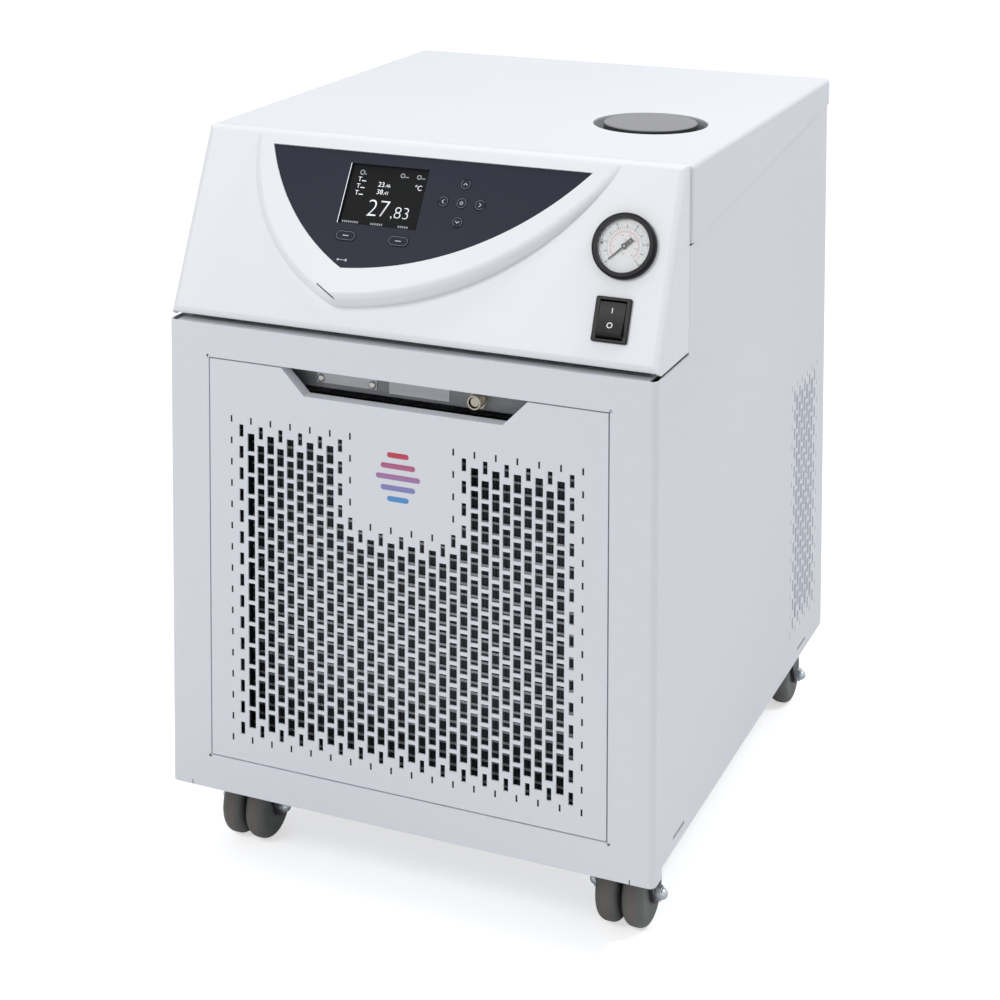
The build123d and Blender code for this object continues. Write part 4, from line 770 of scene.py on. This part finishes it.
thread_turns, thread_pitch, thread_radius, thread_crest = 9, 0.001, 0.0059, 0.00032
crest_steps, crest_sides = 40, 6
socket_low, socket_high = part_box("signal_connector")
socket_x = (socket_low.x + socket_high.x) / 2
# The dark inside of the socket: a near-black disc deep in it, painted shade.
socket_inside_shade = bmesh.new()
disc(socket_inside_shade, socket_x, socket_axis_z, shade_disc_radius, shade_disc_sides)
film("socket_insert", socket_inside_shade,
     plane_at(Vector((0, socket_low.y + shade_disc_depth, 0)), right_x, front_normal), painted_hole_shade,
     "cabinet")


def thread_tree():
    """A node tree that stacks rings along an axis, as the crests of a fine thread."""
    tree, given = open_tree("thread_crests", Count="Int", Pitch="Float", Radius="Float",
                            Crest="Float")
    step = add_node(tree, "ShaderNodeCombineXYZ", {"Z": given["Pitch"]})
    line = add_node(tree, "GeometryNodeMeshLine", {
        "Count": given["Count"], "Offset": step.outputs[0]}, mode="OFFSET")
    path = add_node(tree, "GeometryNodeCurvePrimitiveCircle", {
        "Resolution": crest_steps, "Radius": given["Radius"]}, mode="RADIUS")
    section = add_node(tree, "GeometryNodeCurvePrimitiveCircle", {
        "Resolution": crest_sides, "Radius": given["Crest"]}, mode="RADIUS")
    crest = add_node(tree, "GeometryNodeCurveToMesh", {
        "Curve": path.outputs["Curve"], "Profile Curve": section.outputs["Curve"]})
    copies = add_node(tree, "GeometryNodeInstanceOnPoints", {
        "Points": line.outputs[0], "Instance": crest.outputs[0]})
    return close_tree(tree, copies, given["Material"])


thread_crests = thread_tree()
socket_thread = grow("socket_thread", bpy.data.meshes.new("socket_thread"), thread_crests, {
    "Count": thread_turns, "Pitch": thread_pitch, "Radius": thread_radius,
    "Crest": thread_crest, "Material": nickel_brass}, "cabinet")
thread_start = Vector((socket_x, socket_low.y + thread_depth, socket_axis_z))
socket_thread.data.transform(plane_at(thread_start, right_x, front_normal))

# Filler: a grey moulded tray under the lid and a turned cap with a fluted side, coloured near black
# on its side and a paler grey on its top face.
tray_grey, tree, shader = finish("tray_grey", (0.40, 0.41, 0.42), 0.5)
grained(tree, shader, 900.0, 0.00002)
dress(tray_grey, "filler_neck")
cap_side_colour = (0.020, 0.020, 0.022)
cap_top_colour = (0.25, 0.25, 0.262)
cap_moulded, tree, shader = finish("cap_moulded", cap_top_colour, 0.5)
grained(tree, shader, 1100.0, 0.00002)
cap_rim_drop = 0.0007
cap_rim_fade = 0.0003
cap_rim_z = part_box("filler_cap")[1].z - cap_rim_drop
# The colour turns from the near-black side to the paler top just below the cap's top edge.
height = add_node(tree, "ShaderNodeSeparateXYZ", {"Vector": own_place(tree)}).outputs["Z"]
on_top = add_node(tree, "ShaderNodeMapRange", {
    "Value": height, "From Min": cap_rim_z - cap_rim_fade, "From Max": cap_rim_z}).outputs["Result"]
mixed = add_node(tree, "ShaderNodeMix", {
    "Factor": on_top, 6: (*cap_side_colour, 1.0), 7: (*cap_top_colour, 1.0)}, data_type="RGBA")
tree.links.new(mixed.outputs[2], shader.inputs["Base Color"])
dress(cap_moulded, "filler_cap")

# Condenser: flat aluminium tubes between packs of folded fins, which show as close upright lines
# through the door. The fins are painted near black as the shade deep in the pack, with upright
# stripes of painted shade between the folds; only the front 0.7 mm, the tube noses, keeps a pale grey.
tube_nose = 0.0007
fin_wave = 105.0
fin_relief = 0.0003
fin_shade_darkest, fin_shade_palest = (0.020, 0.020, 0.024), (0.060, 0.060, 0.068)
nose_bright = (0.52, 0.53, 0.56)
fin_painted_shade, tree, shader = finish("condenser_fins_shade", fin_shade_palest, 0.5, 0.5)
condenser_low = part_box("condenser")[0]
place = own_place(tree)
spaces = add_node(tree, "ShaderNodeSeparateXYZ", {"Vector": place}).outputs
# Upright stripes of painted shade between the fin folds.
fins = add_node(tree, "ShaderNodeTexWave", {
    "Vector": place, "Scale": fin_wave, "Distortion": 0.0}, bands_direction="X")
fin_shade_colour = add_node(tree, "ShaderNodeMix", {
    "Factor": fins.outputs["Fac"], 6: (*fin_shade_darkest, 1.0), 7: (*fin_shade_palest, 1.0)}, data_type="RGBA")
# Only the front of the pack, the tube noses, is pale; behind it the fins keep their painted shade.
nose = add_node(tree, "ShaderNodeMath", {
    0: spaces["Y"], 1: condenser_low.y + tube_nose}, operation="LESS_THAN")
both = add_node(tree, "ShaderNodeMix", {
    "Factor": nose.outputs[0], 6: fin_shade_colour.outputs[2], 7: (*nose_bright, 1.0)},
    data_type="RGBA")
tree.links.new(both.outputs[2], shader.inputs["Base Color"])
bump = add_node(tree, "ShaderNodeBump", {
    "Height": fins.outputs["Fac"], "Strength": 0.6, "Distance": fin_relief})
tree.links.new(bump.outputs["Normal"], shader.inputs["Normal"])
dress(fin_painted_shade, "condenser")

# Cooling and pumping parts inside: galvanised sheet, black enamelled motors and compressor,
# stainless tank and plate pack, copper lines, rubber hoses and a grey moulded box.
spangle_scale = 120.0
galvanised, tree, shader = finish("galvanised", (0.56, 0.57, 0.59), 0.42, 0.85)
spangle = add_node(tree, "ShaderNodeTexVoronoi", {"Vector": own_place(tree), "Scale": spangle_scale})
varied(tree, shader, spangle.outputs["Distance"], (0.52, 0.53, 0.55), (0.62, 0.63, 0.65))
dress(galvanised, "fan_shroud", "base_pan")
enamel_black, tree, shader = finish("enamel_black", (0.022, 0.022, 0.023), 0.35)
grained(tree, shader, 260.0, 0.00005)
dress(enamel_black, "fan_motor", "compressor", "pump_motor")
brushed_steel, tree, shader = finish("brushed_steel", (0.60, 0.60, 0.60), 0.32, 1.0)
brush = grained(tree, shader, 40.0, 0.00001, (30.0, 30.0, 1.0))
varied(tree, shader, brush, (0.56, 0.56, 0.56), (0.64, 0.64, 0.64))
dress(brushed_steel, "reservoir", "evaporator", "pump_nozzles")
pressed_aluminium, tree, shader = finish("pressed_aluminium", (0.70, 0.70, 0.71), 0.38, 1.0)
grained(tree, shader, 400.0, 0.00001)
dress(pressed_aluminium, "fan_rotor")
cast_grey, tree, shader = finish("cast_grey", (0.30, 0.30, 0.30), 0.6, 0.6)
grained(tree, shader, 500.0, 0.00012)
dress(cast_grey, "pump_housing")
drawn_copper, tree, shader = finish("drawn_copper", (0.72, 0.37, 0.22), 0.30, 1.0)
tarnish = grained(tree, shader, 35.0, 0.00001)
varied(tree, shader, tarnish, (0.60, 0.28, 0.16), (0.76, 0.42, 0.27))
dress(drawn_copper, "refrigerant_lines")
hose_rubber, tree, shader = finish("hose_rubber", (0.022, 0.022, 0.022), 0.7)
grained(tree, shader, 700.0, 0.00005)
dress(hose_rubber, "coolant_hoses")
box_grey, tree, shader = finish("box_grey", (0.48, 0.49, 0.50), 0.5)
grained(tree, shader, 700.0, 0.00003)
dress(box_grey, "electronics_box")

# Rear fittings: a plated brass drain tap, a black lever, a black mains inlet and pan-head screws
# that hold the rear panel to the casing's flanges.
plated_brass, tree, shader = finish("plated_brass", (0.66, 0.58, 0.42), 0.28, 1.0)
grained(tree, shader, 300.0, 0.00001)
dress(plated_brass, "drain_tap")
inlet_black, tree, shader = finish("inlet_black", (0.020, 0.020, 0.021), 0.5)
grained(tree, shader, 1300.0, 0.00002)
dress(inlet_black, "drain_handle", "mains_inlet")
screw_head_radius = 0.0038
screw_head_height = 0.0022
screw_recess_radius = 0.0016
screw_floor_share = 0.35
screw_sides = 24
crown_steps = 6
crown_share = (0.45, 0.75)
rear_low, rear_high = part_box("rear_panel")


def screw_head(name):
    """A pan head with a round recess, turned round its own axis."""
    bm = bmesh.new()
    profile = [(screw_head_radius, 0.0)]
    for step in range(crown_steps):
        turn = math.pi / 2 * step / crown_steps
        profile.append((screw_head_radius * (1 - crown_share[0] * (1 - math.cos(turn))),
                        screw_head_height * (1 - crown_share[1] * (1 - math.sin(turn)))))
    profile.append((screw_recess_radius, screw_head_height))
    profile.append((screw_recess_radius, screw_head_height * screw_floor_share))
    turns = [2 * math.pi * side / screw_sides for side in range(screw_sides)]
    rims = []
    for radius, height in profile:
        rims.append([bm.verts.new((radius * math.cos(turn), radius * math.sin(turn), height))
                     for turn in turns])
    for lower, upper in zip(rims, rims[1:]):
        for side in range(screw_sides):
            after = (side + 1) % screw_sides
            bm.faces.new((lower[side], lower[after], upper[after], upper[side]))
    bm.faces.new(rims[-1])
    bm.faces.new(list(reversed(rims[0])))
    mesh = bpy.data.meshes.new(name)
    bm.to_mesh(mesh)
    bm.free()
    return placed(name, mesh)


def copy_tree():
    """A node tree that puts a turned copy of an object at each point of a mesh."""
    tree, given = open_tree("copies_on_points", Original="Object", Turn="Vector")
    original = add_node(tree, "GeometryNodeObjectInfo", {"Object": given["Original"]})
    turn = add_node(tree, "FunctionNodeEulerToRotation", {"Euler": given["Turn"]})
    copies = add_node(tree, "GeometryNodeInstanceOnPoints", {
        "Points": given["Geometry"], "Instance": original.outputs["Geometry"],
        "Rotation": turn.outputs["Rotation"]})
    return close_tree(tree, copies, given["Material"], smooth=True)


copies_on_points = copy_tree()
screw_original = screw_head("screw_head")
screw_inset = 0.009
screw_levels = 5
lowest_inset, highest_inset = 0.02, 0.04
lowest_screw = rear_low.z + lowest_inset
highest_screw = rear_high.z - highest_inset
level_step = (highest_screw - lowest_screw) / (screw_levels - 1)
screw_places = [
    (side * (rear_high.x - screw_inset), rear_high.y, lowest_screw + level * level_step)
    for side in (-1, 1) for level in range(screw_levels)
]
inlet_screw_inset = 0.005
inlet_low, inlet_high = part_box("mains_inlet")
screw_places += [
    (x, inlet_high.y, (inlet_low.z + inlet_high.z) / 2)
    for x in (inlet_low.x + inlet_screw_inset, inlet_high.x - inlet_screw_inset)
]
grow("rear_screws", points_mesh("rear_screws", screw_places), copies_on_points, {
    "Original": screw_original, "Turn": (-math.pi / 2, 0.0, 0.0), "Material": bright_steel},
     "cabinet")
bpy.data.objects.remove(screw_original)

# Casters: plated top plates, forks of dark sheet with bright domed nuts, and hard wheels of dark
# grey polyamide whose tread is a little browner in the middle. The brake lever is blue-passivated.
plate_zinc, tree, shader = finish("plate_zinc", (0.55, 0.56, 0.58), 0.35, 0.9)
grained(tree, shader, 200.0, 0.00002)
dress(plate_zinc, "caster_plates")
brake_blue, tree, shader = finish("brake_blue", (0.20, 0.25, 0.31), 0.38, 0.8)
grained(tree, shader, 200.0, 0.00002)
fork_dark = (0.030, 0.030, 0.033)
nut_bright = (0.55, 0.60, 0.64)
fork_face = 0.0256
wheel_middle = (0.165, 0.140, 0.127)
wheel_rim = (0.135, 0.136, 0.132)
tread_middle, tread_edge = 0.0015, 0.0055


def across_from(tree, centre):
    """Distance from an upright plane at a place on X, on Object coordinates."""
    mapping = add_node(tree, "ShaderNodeMapping", {
        "Vector": own_place(tree), "Location": (-centre, 0.0, 0.0)})
    across = add_node(tree, "ShaderNodeSeparateXYZ", {"Vector": mapping.outputs[0]}).outputs["X"]
    return add_node(tree, "ShaderNodeMath", {0: across}, operation="ABSOLUTE").outputs[0]


for corner in ("front_left", "front_right", "rear_left", "rear_right"):
    fork_name = "caster_fork_" + corner
    swivel_x = joints["swivel_" + corner]["pos_m"][0]
    fork_paint, tree, shader = finish("fork_paint_" + corner, fork_dark, 0.36)
    grained(tree, shader, 500.0, 0.00002)
    far = across_from(tree, swivel_x)
    nut = add_node(tree, "ShaderNodeMath", {0: far, 1: fork_face}, operation="GREATER_THAN").outputs[0]
    mixed = add_node(tree, "ShaderNodeMix", {
        "Factor": nut, 6: (*fork_dark, 1.0), 7: (*nut_bright, 1.0)}, data_type="RGBA")
    tree.links.new(mixed.outputs[2], shader.inputs["Base Color"])
    tree.links.new(nut, shader.inputs["Metallic"])
    dress(fork_paint, fork_name)
    for half in ("left", "right"):
        wheel_name = f"wheel_{corner}_{half}"
        wheel_low, wheel_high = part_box(wheel_name)
        tread, tree, shader = finish("tread_" + corner + "_" + half, wheel_rim, 0.48)
        grained(tree, shader, 500.0, 0.00003)
        far = across_from(tree, (wheel_low.x + wheel_high.x) / 2)
        share = add_node(tree, "ShaderNodeMapRange", {
            "Value": far, "From Min": tread_middle, "From Max": tread_edge})
        mixed = add_node(tree, "ShaderNodeMix", {
            "Factor": share.outputs[0], 6: (*wheel_middle, 1.0), 7: (*wheel_rim, 1.0)},
            data_type="RGBA")
        tree.links.new(mixed.outputs[2], shader.inputs["Base Color"])
        dress(tread, wheel_name)
dress(brake_blue, "brake_lever_front_left", "brake_lever_front_right")

# Studio: a pale floor that fades into a white background, a broad soft lamp overhead and two
# weak fills, so that each colour renders about as it is written.
floor_half = 12.0
floor_glow = 0.58
sky_colour = (0.93, 0.96, 1.0)
sky_strength = 0.50
pure_white = (1.0, 1.0, 1.0, 1.0)
floor_mesh = bpy.data.meshes.new("floor")
floor_mesh.from_pydata([
    (-floor_half, -floor_half, 0.0), (floor_half, -floor_half, 0.0),
    (floor_half, floor_half, 0.0), (-floor_half, floor_half, 0.0)], [], [(0, 1, 2, 3)])
floor = placed("floor", floor_mesh)
floor_pale, tree, shader = finish("floor_pale", (0.90, 0.90, 0.905), 0.9, gloss=0.0)
glow = add_node(tree, "ShaderNodeEmission", {"Color": pure_white, "Strength": floor_glow})
lit = add_node(tree, "ShaderNodeAddShader", {0: shader.outputs[0], 1: glow.outputs[0]})
seen = add_node(tree, "ShaderNodeLightPath").outputs["Is Camera Ray"]
chosen = add_node(tree, "ShaderNodeMixShader", {
    0: seen, 1: shader.outputs[0], 2: lit.outputs[0]})
tree.links.new(chosen.outputs[0], tree.nodes["Material Output"].inputs["Surface"])
floor_mesh.materials.append(floor_pale)

world = bpy.data.worlds.new("studio")
bpy.context.scene.world = world
world.use_nodes = True
tree = world.node_tree
sky_light = tree.nodes["Background"]
sky_light.inputs["Color"].default_value = (*sky_colour, 1.0)
sky_light.inputs["Strength"].default_value = sky_strength
backdrop = add_node(tree, "ShaderNodeBackground", {"Color": pure_white, "Strength": 1.0})
rays = add_node(tree, "ShaderNodeLightPath").outputs
shown = add_node(tree, "ShaderNodeMath", {
    0: rays["Is Camera Ray"], 1: rays["Is Transmission Ray"]}, operation="MAXIMUM")
shown = add_node(tree, "ShaderNodeMath", {
    0: shown.outputs[0], 1: rays["Is Glossy Ray"]}, operation="MAXIMUM")
chosen = add_node(tree, "ShaderNodeMixShader", {
    0: shown.outputs[0], 1: sky_light.outputs[0], 2: backdrop.outputs[0]})
tree.links.new(chosen.outputs[0], tree.nodes["World Output"].inputs["Surface"])


def soft_lamp(name, place, target, size, power):
    """A square area lamp that faces a point."""
    lamp = bpy.data.lights.new(name, "AREA")
    lamp.size = size
    lamp.energy = power
    lamp_object = placed(name, lamp)
    lamp_object.location = place
    lamp_object.rotation_euler = (Vector(target) - Vector(place)).to_track_quat("-Z", "Y").to_euler()


middle = (0.0, 0.0, 0.35)
soft_lamp("overhead", place=(0.1, 0.2, 2.9), target=middle, size=2.0, power=13.0)
soft_lamp("front_fill", place=(-1.0, -2.4, 2.2), target=middle, size=0.7, power=23.0)
soft_lamp("side_fill", place=(1.5, 0.3, 2.4), target=middle, size=0.35, power=17.0)

# Camera: it stands to the right of the front, above the lid. As with a view camera, the picture
# plane stays nearly upright while the lens looks down, so that upright edges stay parallel. The
# carrier slants the camera's own axis for that.
camera_place = (0.7596, -1.9209, 1.0283)
camera_tilt, camera_heading = 86.104, 24.213
camera_lens = 82.30
slant_across, slant_down = -0.0330, 0.2944
camera_data = bpy.data.cameras.new("camera")
camera_data.sensor_width = 36.0
camera_data.lens = camera_lens
camera_data.clip_end = 100.0
camera = placed("camera", camera_data)
camera.location = camera_place
camera.rotation_euler = (math.radians(camera_tilt), 0.0, math.radians(camera_heading))
carrier = placed("camera_carrier", None)
slant = Matrix.Identity(4)
slant[0][2], slant[1][2] = slant_across, slant_down
camera.parent = carrier
camera.matrix_parent_inverse = camera.matrix_basis @ slant @ camera.matrix_basis.inverted()
bpy.context.scene.camera = camera
bpy.context.scene.view_settings.view_transform = "Standard"
